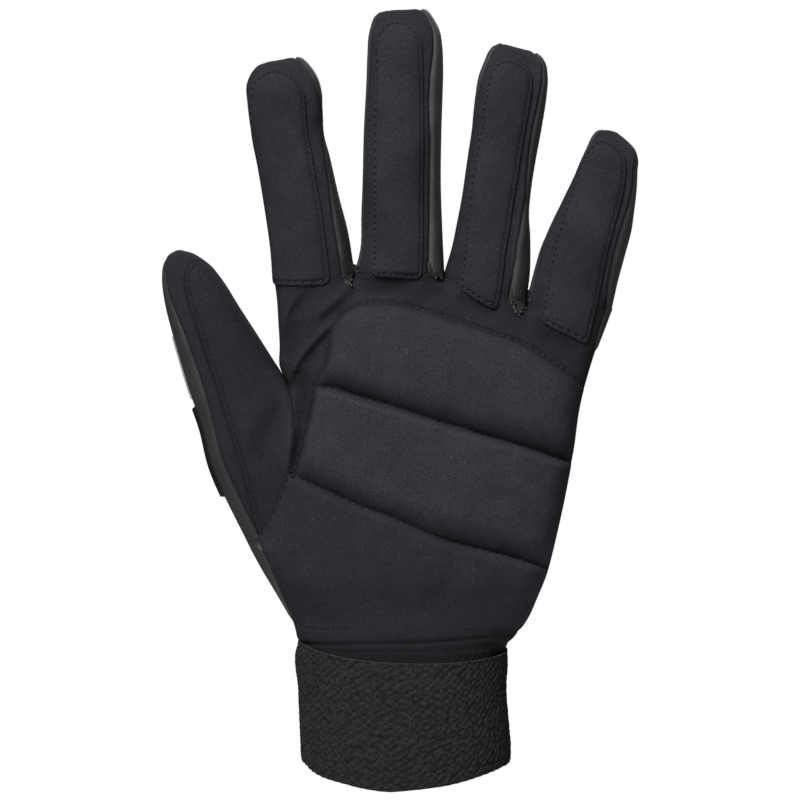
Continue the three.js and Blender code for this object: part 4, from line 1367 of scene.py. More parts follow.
def make_edge_strips(sizes):
    """The hide that runs on from the thumb down the heel's edge, and from the little finger down the
    palm's: a patch between the hand's edge and the seam on the palm, tucked in at its top and foot."""
    rows, columns = EDGE_GRID
    down = np.linspace(0, 1, rows)[:, None]
    share = np.linspace(0, 1, columns)[None, :] ** 2
    across = share[..., None]
    for name, (line, high, low, slant, tuck, seam) in EDGE_STRIPS.items():
        height = np.linspace(high, low, rows)
        edge = packed(np.interp(height, *line), height)[:, None]
        inner = curve_through(seam, rows)[:, None]
        places = edge + (inner - edge) * across
        if slant:
            rising = high + slant * np.sqrt(share)
            head = packed(np.interp(rising, *line), rising)
            places = places + (head - places[:1]) * (1 - down)[..., None]
        points = palm_point(*plane(places), sizes)
        middle = at_depth(0 * points[..., 0], points[..., 2], FAR)
        lift = EDGE_LIFT * ease(0, 0.08, share) + seam_dip(both_edges(points)[1], EDGE_LIFT)
        shown = ease(0, tuck, down) * (1 - ease(EDGE_FOOT, 1, down))
        lift = lift * shown - EDGE_TUCK * (1 - shown) * ease(0, 0.2, share)
        raised = points + normals(points, middle) * lift[..., None]
        piece = skin(f"{name}_hide_strip", raised, middle, EDGE_THICKNESS, "hide", tone=EDGE_TONE)
        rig.ride(piece, "hand")


# Strip ends: their grid, form and lightness, with painted crease shading and edge highlights
END_GRID = (40, 20)
END_THICKNESS = 0.4 * MM
END_RISE = 0.5
END_HOLLOW = 0.8
END_TONE = 1.25
END_CREASE_SHADING = 0.25
END_EDGE = 1.1
END_EDGE_WIDTH = 0.3

# Frayed threads at each point: from a row of it down, scattered, and leaning by degrees
TACK_COUNT = 9
TACK_ROW = 22
TACK_SCATTER = 0.4
TACK_LEAN = (20, 160)
TACK_SEAT = 0.6


def make_strip_ends(sizes):
    """The pointed ends of the side strips between the fingers: hide laid in each corner between two
    edges that meet below, hollow, with painted light and shade in lengthwise stripes for creases, pale
    along its cut edges with a painted highlight, and with short frayed threads across the point."""
    chance = np.random.default_rng(4)
    rows, columns = END_GRID
    across = np.linspace(0, 1, columns)[None, :]
    down = np.linspace(0, 1, rows)[:, None]
    for name, sides in GUSSETS.items():
        low, high = (curve_through(side, rows) for side in sides)
        places = low[:, None] + (high - low)[:, None] * across[..., None]
        points = palm_point(*plane(places), sizes)
        hollow = END_HOLLOW * np.sin(np.pi * across) * (1 - 0.8 * down)
        points[..., 1] -= END_RISE * ease(0, 0.35, down) - hollow
        # Painted light and shade in lengthwise stripes, standing in for creases
        creases = END_CREASE_SHADING * np.sin(2 * np.pi * 2.6 * across + 1.2 * down)
        # Painted highlight on the pale cut edges
        cut = bell(np.minimum(*both_edges(points)), END_EDGE_WIDTH) * ease(0.3, 0.7, down)
        tone = END_TONE + creases + END_EDGE * cut
        middle = at_depth(*plane(places), FAR)
        piece = skin(f"{name}_strip_end", points, middle, END_THICKNESS, "hide", tone=tone)
        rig.ride(piece, "hand")
        edge = np.concatenate([low[TACK_ROW:], high[TACK_ROW:]])
        spot = edge[chance.integers(0, len(edge), TACK_COUNT)]
        spot = spot + chance.normal(0, TACK_SCATTER, (TACK_COUNT, 2))
        points, up = palm_frame(spot, sizes)
        lean = np.radians(chance.uniform(*TACK_LEAN, TACK_COUNT))
        along = laid(at_depth(np.cos(lean), np.sin(lean), 0), up)
        seat = points + up * TACK_SEAT
        thread = stitches(f"{name}_tack", seat, along, up, sizes, material("tack"), "suede")
        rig.ride(thread, "hand")


# The pads: the node each stands for and the lines above and below it
PAD_SPANS = {
    "upper_pad": ("upper_pad_foam", PAD_TOP_LINE, UPPER_CREASE),
    "middle_pad": ("middle_pad_foam", UPPER_CREASE, LOWER_CREASE),
    "heel_pad": ("heel_pad_foam", LOWER_CREASE, ((-30.0, 48.0), (0.0, 46.0), (34.0, 48.0))),
}
PAD_GRID = (40, 70)
PAD_REACH = (0.12, 0.9)
PAD_COLUMNS = slice(4, -8)
PAD_TOP_START = 8
PAD_UNDER = 1.6
PAD_LEAST = -1.0
PAD_BACK = 1.5


def make_pads(sizes):
    """The three foam pads: closed crowned forms under the palm's suede, drawn in at their seams."""
    rows, columns = PAD_GRID
    up = np.linspace(*PAD_REACH, rows)[:, None, None]
    for pad, (node, high_line, low_line) in PAD_SPANS.items():
        high, low = curve_through(high_line, columns), curve_through(low_line, columns)
        if high_line is PAD_TOP_LINE:
            high = curve_through(high[PAD_TOP_START:], columns)
        high, low = high[PAD_COLUMNS], low[PAD_COLUMNS]
        places = low + (high - low) * up
        x, z = plane(places)
        depth = hand_depth(x, z, FRONT_LEFT, FRONT_DEPTHS)
        crown = getattr(sizes, pad) / MM * pad_shares(x, z)[pad]
        top = packed(x, -depth - np.maximum(crown - PAD_UNDER, PAD_LEAST), z)
        bottom = packed(x, -depth + PAD_BACK, z)
        piece = closed_pad(f"{pad}_form", top, bottom, material("foam"), "foam")
        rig.replaces(piece, node)
        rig.ride(piece, "hand")
        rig.padded(piece, fill=0.7)


LINING_RISE = 4
LINING_DEPTH = 2.6
LINING_LEAST = 0.4
LINING_INSET = 1.6
LINING_THICKNESS = 0.5 * MM


def make_lining():
    """The palm's lining: the hand's plain front, set in behind the pads and from the hand's edges."""
    x, z = hand_places(FRONT_LEFT, *LINING_GRID, PALM_BOTTOM + LINING_RISE)
    depth = np.maximum(hand_depth(x, z, FRONT_LEFT, FRONT_DEPTHS) - LINING_DEPTH, LINING_LEAST)
    middle = at_depth(x, z, FAR)
    left, right = np.interp(z, *FRONT_LEFT), np.interp(z, *RIGHT_EDGE)
    points = packed(np.clip(x, left + LINING_INSET, right - LINING_INSET), -depth, z)
    piece = skin("palm_tricot", points, middle, LINING_THICKNESS, "lining")
    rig.replaces(piece, "palm_lining")
    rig.ride(piece, "hand")


BACK_RIPPLES = ((0.3, 57), (0.1, 23))
BACK_SETTLE = (1, 8)


def make_back(sizes):
    """The back of the hand: smooth hide, rounded between the hand's edges, with soft creases."""
    x, z = hand_places(BACK_LEFT, *BACK_GRID, PALM_BOTTOM)
    depth = hand_depth(x, z, BACK_LEFT, BACK_DEPTHS)
    soft = unevenness(x, z, *BACK_RIPPLES) * ease(*BACK_SETTLE, depth)
    points = packed(x, depth + soft, z)
    piece = skin("back_hide", points, at_depth(x, z, -FAR), sizes.hide, "hide")
    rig.replaces(piece, "back_panel")
    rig.ride(piece, "hand")


# A finger's lengths with their stations and rows, its panels' columns, and the lightness of some
FINGER_PARTS = (("lower", 0, FINGER_SPLIT, 44), ("upper", FINGER_SPLIT, 1 + TIP_CAP, 108))
PANEL_COLUMNS = {"front": 56, "back": 36, "right_strip": 24, "left_strip": 24}
PANEL_TONES = {
    ("index", "right_strip"): 0.75,
    ("middle", "right_strip"): 2.0,
    ("ring", "right_strip"): 1.25,
    ("little", "back"): 1.45,
}

# Fronts get painted light where they turn right. Strips get painted shade at the tip, where all panels are thin.
SIDE_PAINTED_LIGHT = {"index": 0.5, "middle": 0.4, "ring": 1.2, "little": 0.9}
SIDE_FACING = (0.2, 0.7)
ROOT_BLEND = 0.14
TIP_SHADE = 0.5
TIP_SHADED = (0.84, 0.95)
FINGER_THIN = (0.86, 0.97)
CREASE_HEIGHT = 0.02
CREASE_LENGTH = 1.9
# Place and width of the painted highlight on a strip's pale cut edge
CUT_HIGHLIGHT_PLACE = 0.5
CUT_HIGHLIGHT_WIDTH = 0.28


def finger_panels(name):
    """The two seams of each of a finger's panels. A side strip lies between the front's seam and the
    back's, and where there is none, the back reaches round to the front."""
    right, left = (SEAM_SHARES, RIGHT_SEAMS[name]), (SEAM_SHARES, LEFT_SEAMS[name])
    round_left = (SEAM_SHARES, tuple(360 + angle for angle in LEFT_SEAMS[name]))
    has_right, has_left = "right" in SIDE_STRIPS[name], "left" in SIDE_STRIPS[name]
    back = (BACK_RIGHT_SEAM if has_right else right, BACK_LEFT_SEAM if has_left else round_left)
    panels = {"front": (left, right), "back": back}
    if has_right:
        panels["right_strip"] = (right, BACK_RIGHT_SEAM)
    if has_left:
        panels["left_strip"] = (BACK_LEFT_SEAM, round_left)
    return panels


def strip_creases(points):
    """Lift of fine creases across a side strip: short waves along it that drift from row to row."""
    run, height = arc_length(points), points[..., 2]
    drift = 1.5 * np.sin(0.9 * run) + 2 * np.sin(height / 3.1)
    return CREASE_HEIGHT * np.sin(2 * np.pi * height / CREASE_LENGTH + drift)


def cut_edge_highlight(points, panel, v):
    """Lightness of the pale cut edge beside a strip's front seam, with a painted highlight on it, strongest near the
    tip and the root.
    """
    first, last = both_edges(points)
    distance = first if panel == "right_strip" else last
    strength = 0.35 + 0.7 * ease(0.82, 0.93, v) + 0.6 * (1 - ease(0.0, 0.25, v))
    return strength[:, None] * bell(distance - CUT_HIGHLIGHT_PLACE, CUT_HIGHLIGHT_WIDTH)


def make_finger_panel(sizes, name, part, panel, seams, v):
    """One panel of one length of a finger between its seams, its lightness with painted light and shade."""
    def surface(angle, at):
        return finger_front(name, angle, at)
    points, middle = tube_panel(surface, finger_tube(name), seams, v, PANEL_COLUMNS[panel])
    tone = seam_shade_tone(points, PANEL_TONES.get((name, panel), 1.0))
    if panel == "front":
        # Painted light where the front turns right, painted shade at its root, and the suede's painted fold shade
        up = ease(0, ROOT_BLEND, v)[:, None]
        tone *= 1 + SIDE_PAINTED_LIGHT[name] * ease(*SIDE_FACING, normals(points, middle)[..., 0]) * up
        tone *= 1 - ROOT_SHADE * (1 - up)
        tone *= nap_sweep_and_fold_shade(*plane(points))
    if panel.endswith("strip"):
        points = points + normals(points, middle) * strip_creases(points)[..., None]
        # Painted highlight on the strip's cut edge, and painted shade towards the tip
        dark = TIP_SHADE * ease(*TIP_SHADED, v)[:, None]
        tone = (tone + cut_edge_highlight(points, panel, v)) * (1 - dark)
    layer = "suede" if panel == "front" else "hide"
    piece = skin(f"{name}_{panel}_{part}_skin", points, middle, getattr(sizes, layer), layer, tone=tone,
                 thinned=1 - TIP_THIN * ease(*FINGER_THIN, v))
    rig.replaces(piece, f"{name}_{part}_{panel}")
    ride_finger(piece, name, part)


def make_fingers(sizes):
    """Each finger's suede front, hide back and side strips, in a lower and an upper length."""
    for name in FINGERS:
        for part, low, high, rows in FINGER_PARTS:
            for panel, seams in finger_panels(name).items():
                make_finger_panel(sizes, name, part, panel, seams, np.linspace(low, high, rows))


# A patch: its grid, the crowding of its rows, its outline and its thickness
PATCH_COLUMNS = 44
PATCH_ROWS = {"lower": 60, "upper": 120}
PATCH_CROWD = 1.6
PATCH_CORNER = 3.0
PATCH_CLEAR = 0.05
PATCH_THICKNESS = 0.4 * MM

# A patch across its edge: sunk and rolled, with a stitched line and a low crown inside it
PATCH_SINK = 0.3
PATCH_ROLL = 1.3
PATCH_INSET = 1.6
PATCH_DIP = 0.3
PATCH_DIP_WIDTH = 0.42
PATCH_CROWN = 0.22
PATCH_CROWN_START = 2.0
PATCH_CROWN_WIDTH = 6
PATCH_NAP_LENGTH = 26
PATCH_STEP = 0.2
PATCH_POINTS = 60


def patch_places(name, p, q):
    """Angle and station of a patch at shares across and up: its foot slants, its head is round."""
    foot_left, foot_right = PATCH_FEET[name]
    foot = foot_left + (foot_right - foot_left) * p
    v = foot + (PATCH_HEADS[name] - foot) * q
    left, right = (smooth(PATCH_SHARES, edge, np.clip(v, 0, 0.9)) for edge in PATCH_EDGES[name])
    return np.radians(left + (right - left) * p), v


def patch_size(name):
    """Width and length of a patch in millimetres, along its middle lines."""
    shares, half = np.linspace(0, 1, PATCH_POINTS), np.full(PATCH_POINTS, 0.5)
    lines = (finger_front(name, *patch_places(name, p, q)) for p, q in ((shares, half), (half, shares)))
    return [run_along(line)[-1] for line in lines]


def patch_corner(width, length, up):
    """Radius of a patch's outline at a height: wide corners that meet at its head, small ones below."""
    return np.where(up > length / 2, width / 2 - PATCH_CLEAR, PATCH_CORNER)


def patch_gap(width, length, across, up):
    """Distance inside a patch's edge: that of a box with round corners, wide ones at its head."""
    corner = patch_corner(width, length, up)
    beyond = packed(np.abs(across) - width / 2, np.abs(up - length / 2) - length / 2)
    beyond += corner[..., None]
    outside = np.linalg.norm(np.maximum(beyond, 0), axis=-1)
    return corner - outside - np.minimum(beyond.max(-1), 0)


def patch_grid(part, width, length, split_up):
    """Places of one length of a patch in its own millimetres: rows that crowd at its end, each as wide
    as the round-cornered outline."""
    rows = np.linspace(0, 1, PATCH_ROWS[part])[:, None]
    if part == "lower":
        up = split_up * rows ** PATCH_CROWD
    else:
        up = split_up + (length - split_up) * (1 - (1 - rows) ** PATCH_CROWD)
    corner = patch_corner(width, length, up)
    into = np.clip(np.where(up > length / 2, up - (length - corner), corner - up), 0, corner)
    half = width / 2 - corner + np.sqrt(np.maximum(corner ** 2 - into ** 2, PATCH_CLEAR ** 2))
    across = np.sin(np.linspace(-np.pi / 2, np.pi / 2, PATCH_COLUMNS))[None, :] * half
    return across, up + 0 * across


def patch_surface(name, across, up, sizes):
    """The skin under a patch at places in the patch's own millimetres: the finger's front, and below
    its root the palm. Also gives the finger's station at each place."""
    width, length = patch_size(name)
    angle, v = patch_places(name, across / width + 0.5, up / length)
    points = finger_front(name, angle, v)
    on_palm = palm_point(*plane(points), sizes)
    return np.where((v < 0)[..., None], on_palm, points), v


def make_patches(sizes):
    """The suede patch on each finger: a layer with a rolled edge over the front, and its stitching."""
    for name in FINGERS:
        width, length = patch_size(name)
        foot = sum(PATCH_FEET[name]) / 2
        split_up = length * (FINGER_SPLIT - foot) / (PATCH_HEADS[name] - foot)
        for part in PATCH_ROWS:
            across, up = patch_grid(part, width, length, split_up)
            points, v = patch_surface(name, across, up, sizes)
            inside = np.clip(patch_gap(width, length, across, up), 0, None)
            lift = (sizes.patch / MM + PATCH_SINK) * ramp(inside, PATCH_ROLL) - PATCH_SINK
            lift -= PATCH_DIP * bell(inside - PATCH_INSET, PATCH_DIP_WIDTH)
            lift += PATCH_CROWN * ramp(inside - PATCH_CROWN_START, PATCH_CROWN_WIDTH)
            middle = tube_middle(finger_tube(name), v.mean(1))[:, None]
            raised = points + normals(points, middle) * lift[..., None]
            # Painted shade along the patch's rolled edge and in the dip of its stitched line, and the nap swept
            # lighter and darker
            tone = 1 - 0.15 * bell(inside, 0.5) - 0.2 * bell(inside - PATCH_INSET, 0.45)
            tone += NAP_SWEEP * ripple(*plane(raised), PATCH_NAP_LENGTH)
            piece = skin(f"{name}_{part}_patch_skin", raised, middle, PATCH_THICKNESS, "patch",
                         "patch_suede", tone=tone)
            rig.replaces(piece, f"{name}_{part}_patch")
            ride_finger(piece, name, part)
        make_patch_stitches(name, width, length, split_up, sizes)


def patch_seam(width, length):
    """The stitched line of a patch in its own millimetres, a little inside its edge: down its left
    side, round its foot's corners, up its right side and over its round head."""
    half, foot = width / 2 - PATCH_INSET, PATCH_CORNER - PATCH_INSET
    low, high = PATCH_CORNER, length - width / 2
    quarter, turn = np.linspace(0, np.pi / 2, 24), np.linspace(0, np.pi, 60)
    straight = np.linspace(low, high, 40)
    left = packed(0 * straight - half, straight[::-1])
    low_left = packed(foot - half - foot * np.cos(quarter), low - foot * np.sin(quarter))
    low_right = packed(half - foot + foot * np.sin(quarter), low - foot * np.cos(quarter))
    right = packed(0 * straight + half, straight)
    head = packed(half * np.cos(turn), high + half * np.sin(turn))
    return np.concatenate([left, low_left[1:], low_right, right[1:], head[1:]])


def make_patch_stitches(name, width, length, split_up, sizes):
    """Stitches along a patch's seam, in one row for each length of the finger."""
    def surface(across, up):
        return patch_surface(name, across, up, sizes)[0]
    path = patch_seam(width, length)
    run = run_along(path)
    even = np.arange(0, run[-1], sizes.stitch / MM)
    place = at_run(path, run, even)
    slope = at_run(path, run, even + PATCH_STEP) - at_run(path, run, even - PATCH_STEP)
    middle = tube_middle(finger_tube(name), np.full(len(even), 0.5))
    here, up, across_way, up_way = frame_on(surface, *place.T, middle, PATCH_STEP)
    along = slope[:, :1] * across_way + slope[:, 1:] * up_way
    seat = here + up * (sizes.patch / MM - PATCH_SINK)
    for part, chosen in (("lower", place[:, 1] < split_up), ("upper", place[:, 1] >= split_up)):
        thread = stitches(f"{name}_{part}_patch_stitching", seat[chosen], along[chosen], up[chosen], sizes,
                          material("thread"), "patch_suede")
        ride_finger(thread, name, part)


THUMB_LEFT_SEAM = ((0, 0.1, 0.25, 0.38, 0.5, 0.62, 0.75, 0.9, 1.02, 1.25, 1.4, 1.6, 1.75, 2.1),
                   (-55, -54, -48, -43, -41, -37, -34, -36, -40, -48.5, -52, -55, -70, -104))
THUMB_BACK_SEAM = (THUMB_LEFT_SEAM[0], tuple(360 + angle for angle in THUMB_LEFT_SEAM[1]))
THUMB_RIGHT_SEAM = ((0,), (102,))

# The thumb's two lengths with their stations and rows, and its panels: layer, seams, columns, lightness
THUMB_PARTS = (("lower", 0, THUMB_SPLIT, 110), ("upper", THUMB_SPLIT, 2 + TIP_CAP, 120))
THUMB_PANELS = (("front", "suede", (THUMB_LEFT_SEAM, THUMB_RIGHT_SEAM), 120, 0.9),
                ("back", "hide", (THUMB_RIGHT_SEAM, THUMB_BACK_SEAM), 80, 0.85))
THUMB_THIN = (1.7, 1.93)

# The sewn-on panel: its edge, its rise and its stitched line
PANEL_POINTS = 120
PANEL_RISE = 0.32
PANEL_STEP = (-0.25, 0.35)
PANEL_START = 0.06
TOPSTITCH = 1.4
TOPSTITCH_WIDTH = 0.5


def thumb_panel(x, z):
    """Lift and lightness of the thumb's front: the sewn-on panel stands out by its thickness right of
    its edge, sinks at its stitching, and has painted shade along both."""
    distance, share = beside(THUMB_PANEL_EDGE, x, z, PANEL_POINTS)
    ends = ease(0, PANEL_START, share)
    stitched = bell(distance - TOPSTITCH, TOPSTITCH_WIDTH)
    lift = PANEL_RISE * ease(*PANEL_STEP, distance) - 0.3 * stitched - 0.25 * bell(distance, 0.4)
    shade = 0.45 * bell(distance + 0.1, 0.45) + 0.25 * stitched
    return lift * ends, 1 - shade * ends


def thumb_surface(angle, v, sizes):
    """A point of the thumb with its sewn-on front panel."""
    points = thumb_point(angle, v, sizes)
    lift, _ = thumb_panel(*plane(points))
    points[..., 1] -= np.where(np.cos(angle) > 0, lift, 0)
    return points


def make_thumb(sizes):
    """The thumb's suede front and hide back, in a lower and an upper length. A panel is sewn on the
    front, with a row of stitches beside its edge."""
    def surface(angle, v):
        return thumb_surface(angle, v, sizes)
    for part, low, high, rows in THUMB_PARTS:
        v = np.linspace(low, high, rows)
        for panel, layer, seams, columns, base in THUMB_PANELS:
            points, middle = tube_panel(surface, THUMB_TUBE, seams, v, columns)
            tone = seam_shade_tone(points, base)
            if panel == "front":
                # Painted light and shade of the palm carried onto the thumb's front, with painted shade along its
                # panel
                x, z = plane(points)
                tone *= palm_light_and_shade(x, z) * thumb_panel(x, z)[1]
            piece = skin(f"thumb_{panel}_{part}_skin", points, middle, getattr(sizes, layer), layer,
                         tone=tone, thinned=1 - TIP_THIN * ease(*THUMB_THIN, v))
            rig.replaces(piece, f"thumb_{part}_{panel}")
            ride_thumb(piece, part)
    make_thumb_stitches(surface, sizes)


# Where the thumb's stitches are looked for: angles in degrees, stations, and the grid of both
TOPSTITCH_ANGLES = (-75, 60)
TOPSTITCH_STATIONS = (0.03, 1.48)
TOPSTITCH_GRID = (400, 160)
TOPSTITCH_MISS = 0.3


def make_thumb_stitches(surface, sizes):
    """Stitches beside the panel's edge: on each ring of a fine grid the place nearest to their line,
    and even steps along the places found."""
    rows, columns = TOPSTITCH_GRID
    angle = np.radians(np.linspace(*TOPSTITCH_ANGLES, columns))
    v = np.linspace(*TOPSTITCH_STATIONS, rows)
    grid = surface(*np.meshgrid(angle, v))
    distance, _ = beside(THUMB_PANEL_EDGE, *plane(grid), PANEL_POINTS)
    miss = np.abs(distance - TOPSTITCH)
    row = np.flatnonzero(miss.min(1) < TOPSTITCH_MISS)
    column = miss.argmin(1)[row]
    run = run_along(grid[row, column])
    even = np.arange(0, run[-1], sizes.stitch / MM)
    angle, v = np.interp(even, run, angle[column]), np.interp(even, run, v[row])
    here, up, _, along = frame_on(surface, angle, v, tube_middle(THUMB_TUBE, v))
    for part, chosen in (("lower", v < THUMB_SPLIT), ("upper", v >= THUMB_SPLIT)):
        thread = stitches(f"thumb_{part}_stitching", here[chosen], along[chosen], up[chosen], sizes,
                          material("thread"), "suede")
        ride_thumb(thread, part)


# The thumb's guards: their angles in degrees, and for each its stations, height and finish
GUARD_ANGLES = (196, 279)
GUARD_GRID = (60, 48)
GUARD_SINK = 0.2
GUARD_ROLL = 0.8
GUARD_THICKNESS = 0.5 * MM
GUARDS = (("lower", 0.17, 0.63, 1.2, "black_guard", "black_rubber"),
          ("upper", 0.67, 0.96, 0.45, "pale_guard", "pale_rubber"))


def make_guards(sizes):
    """The two moulded guards on the thumb's outer side: plain plates with rounded edges."""
    rows, columns = GUARD_GRID
    for part, low, high, height, layer, slot in GUARDS:
        v = np.linspace(low, high, rows)[:, None]
        angle = np.radians(np.linspace(*GUARD_ANGLES, columns))[None, :] + 0 * v
        points = thumb_point(angle, v + 0 * angle, sizes)
        up, down = (run.T for run in both_edges(points.transpose(1, 0, 2)))
        edge = np.minimum(np.minimum(*both_edges(points)), np.minimum(up, down))
        middle = tube_middle(THUMB_TUBE, v)
        lift = (height + GUARD_SINK) * ramp(edge, GUARD_ROLL) - GUARD_SINK
        raised = points + normals(points, middle) * lift[..., None]
        piece = skin(f"thumb_{part}_guard_plate", raised, middle, GUARD_THICKNESS, layer, slot)
        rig.replaces(piece, f"thumb_guard_{part}")
        if part == "lower":
            ride_thumb(piece, "lower")
        else:
            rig.ride(piece, "thumb_base")


# The cuff's sides and depths at rising heights, its hem at turns in degrees, and its top edge at the
# sides, the front and the back, with its slant to the right
CUFF_ROUND = 2.3
CUFF_HEIGHTS = (0, 8, 16, 27, 37, 42)
CUFF_LEFT = (-32.4, -32.5, -32.6, -33.1, -33.9, -32.6)
CUFF_RIGHT = (32.3, 32.6, 32.2, 31.3, 31.9, 31.4)
CUFF_DEPTHS = (21.2, 21.2, 20.8, 19.8, 18.4, 17.9)
HEM_TURNS = (-180, -135, -90, -71, -54, -44, -33, -17, -6, 5, 22, 42, 63, 80, 90, 135, 180)
HEM_HEIGHTS = (5.2, 5.6, 5.2, 4.0, 1.5, 0.4, -0.6, -2.2, -2.8, -2.1, -0.8, 1.3, 3.2, 4.2, 5.4, 5.8, 5.2)
CUFF_HEAD = (40.3, 36.2, 39.5)
CUFF_SLANT = 1.5


def oval_ring(angle, left, right, depth):
    """x and y of an oval between its left and right sides, from the palm side."""
    middle, half = (left + right) / 2, (right - left) / 2
    x = middle + half * bent_power(np.sin(angle), CUFF_ROUND)
    return x, -depth * bent_power(np.cos(angle), CUFF_ROUND)


def cuff_ring(angle, z, lift):
    """x and y round the cuff at heights, stood out by a lift."""
    left, right, depth = (smooth(CUFF_HEIGHTS, row, z) for row in (CUFF_LEFT, CUFF_RIGHT, CUFF_DEPTHS))
    return oval_ring(angle, left - lift, right + lift, depth + lift)


def head_height(angle):
    """Height of the cuff's top edge round it: a wave and a square of the cosine between its heights at
    the sides, the front and the back, less its slant."""
    side, front, back = CUFF_HEAD
    facing = np.cos(angle)
    level = side + (front - back) / 2 * facing + ((front + back) / 2 - side) * facing ** 2
    return level - CUFF_SLANT * np.sin(angle)


def hem_height(angle):
    """Height of the cuff's uneven hem at an angle round it."""
    turn = np.degrees(np.mod(angle + np.pi, 2 * np.pi) - np.pi)
    return smooth(HEM_TURNS, HEM_HEIGHTS, turn)


# The knit's loops: pitch and size round and up the cuff, shift and lean of its two lattices, and chance
LOOP_PITCH = (2.5, 2.3)
LOOP_SIZE = (0.95, 0.8)
LOOP_LATTICES = ((0.0, 0.3), (0.5, -0.3))
LOOP_STRAY = (0.9, 0.8)
LOOP_TURN = 2.2
LOOP_ROUND = 0.6
CHANCE = (12.9898, 78.233, 40, 43758.5453)
CHANCE_AGAIN = 17.31


def loop_height(across, up):
    """Crepe knit at distances round and up the cuff: two lattices of oval bumps, one set between the
    other, each bump of uneven height, place and lean."""
    height = np.zeros(np.broadcast_shapes(across.shape, up.shape))
    for shift, lean in LOOP_LATTICES:
        column = np.round(across / LOOP_PITCH[0] + shift)
        row = np.round(up / LOOP_PITCH[1] + shift)
        chance = np.sin(CHANCE[0] * column + CHANCE[1] * row + CHANCE[2] * shift) * CHANCE[3]
        chance = chance - np.floor(chance)
        other = np.modf(chance * CHANCE_AGAIN)[0]
        x = across - (column - shift) * LOOP_PITCH[0] - LOOP_STRAY[0] * (chance - 0.5)
        y = up - (row - shift) * LOOP_PITCH[1] - LOOP_STRAY[1] * (other - 0.5)
        turn = lean + LOOP_TURN * (other - 0.5)
        along, over = x * np.cos(turn) + y * np.sin(turn), y * np.cos(turn) - x * np.sin(turn)
        square = ((along / LOOP_SIZE[0]) ** 2 + (over / LOOP_SIZE[1]) ** 2) / (0.7 + 0.6 * chance)
        bump = np.clip(1 - square, 0, 1) ** LOOP_ROUND
        height = np.maximum(height, (0.7 + 0.3 * chance) * bump)
    return height


# The cuff's tube: its grid, rolled edges, sag, lightness with painted light on the loops, and sewn edge
CUFF_GRID = (150, 600)
CUFF_ROLL = 0.05
CUFF_TURN_IN = 1.3
HEM_CURL = 0.8
HEAD_CURL = -0.5
CUFF_SAG = 0.35
CUFF_SAG_SHARE = 0.6
LOOP_LEVEL = 0.3
KNIT_TONE = 0.6
LOOP_PAINTED_LIGHT = 0.38
YARN_SPECKLE = 0.36
CORD_RADIUS = 0.24


def make_cuff(sizes):
    """The knitted cuff: an oval tube of loops with a rolled top edge and hem, its sewn edge, and its
    inner layer."""
    rows, columns = CUFF_GRID
    angle = turns(columns)[None, :]
    v = np.linspace(0, 1, rows)[:, None]
    top, hem = head_height(angle), hem_height(angle)
    up = np.clip((v - CUFF_ROLL) / (1 - 2 * CUFF_ROLL), 0, 1)
    z = hem + (top - hem) * up
    turned_in = ramp(v, CUFF_ROLL) * ramp(1 - v, CUFF_ROLL * 0.8)
    sag = CUFF_SAG * np.sin(3 * angle + 6 * up) * np.cos(2 * angle - 3 * up)
    round_cuff = angle / (2 * np.pi) * sizes.loops * LOOP_PITCH[0]
    loops = loop_height(round_cuff, up * (top - hem)) * turned_in
    lift = CUFF_TURN_IN * (turned_in - 1) + CUFF_SAG_SHARE * sag + sizes.knit / MM * (loops - LOOP_LEVEL)
    x, y = cuff_ring(angle, z, lift)
    z = z + (1 - turned_in) * np.where(up < 0.5, HEM_CURL, HEAD_CURL)
    points = packed(x, y, z)
    speckle = np.random.default_rng(9).uniform(-1, 1, loops.shape)
    # Painted light on the crowns of the loops and shade between them, with a random speckle of the yarn
    tone = KNIT_TONE + LOOP_PAINTED_LIGHT * loops + YARN_SPECKLE * speckle
    middle = at_depth(0 * z, z, 0)
    piece = skin("cuff_knit_tube", points, middle, 0, "knit", wraps=True, tone=tone)
    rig.replaces(piece, "cuff_knit")
    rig.ride(piece, "cuff")
    crest = points[np.argmin(np.abs(v[:, 0] - (1 - 0.55 * CUFF_ROLL)))]
    cord = sweep("cuff_top_seam", crest, CORD_RADIUS, material("cord"), "knit")
    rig.ride(cord, "cuff")
    make_cuff_lining()


# The cuff's inner layer, set in from the hem, the top edge and the knit, and its ribs
INNER_GRID = (40, 180)
INNER_HEM = 0.6
INNER_HEAD = 2
INNER_INSET = 1.5
INNER_RIBS = 60
INNER_RIB = 0.2
INNER_THICKNESS = 0.6 * MM


def make_cuff_lining():
    """The inner layer of the folded knit: the cuff's oval, set in, with a wave of fine upright ribs."""
    rows, columns = INNER_GRID
    angle = turns(columns)[None, :]
    v = np.linspace(0, 1, rows)[:, None]
    hem = hem_height(angle) + INNER_HEM
    z = hem + (head_height(angle) - INNER_HEAD - hem) * v
    x, y = cuff_ring(angle, z, INNER_RIB * np.sin(INNER_RIBS * angle) - INNER_INSET)
    points, middle = packed(x, y, z), at_depth(0 * z, z, 0)
    piece = skin("cuff_inner_layer", points, middle, INNER_THICKNESS, "lining", "knit", wraps=True)
    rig.replaces(piece, "cuff_lining")
    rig.ride(piece, "cuff")


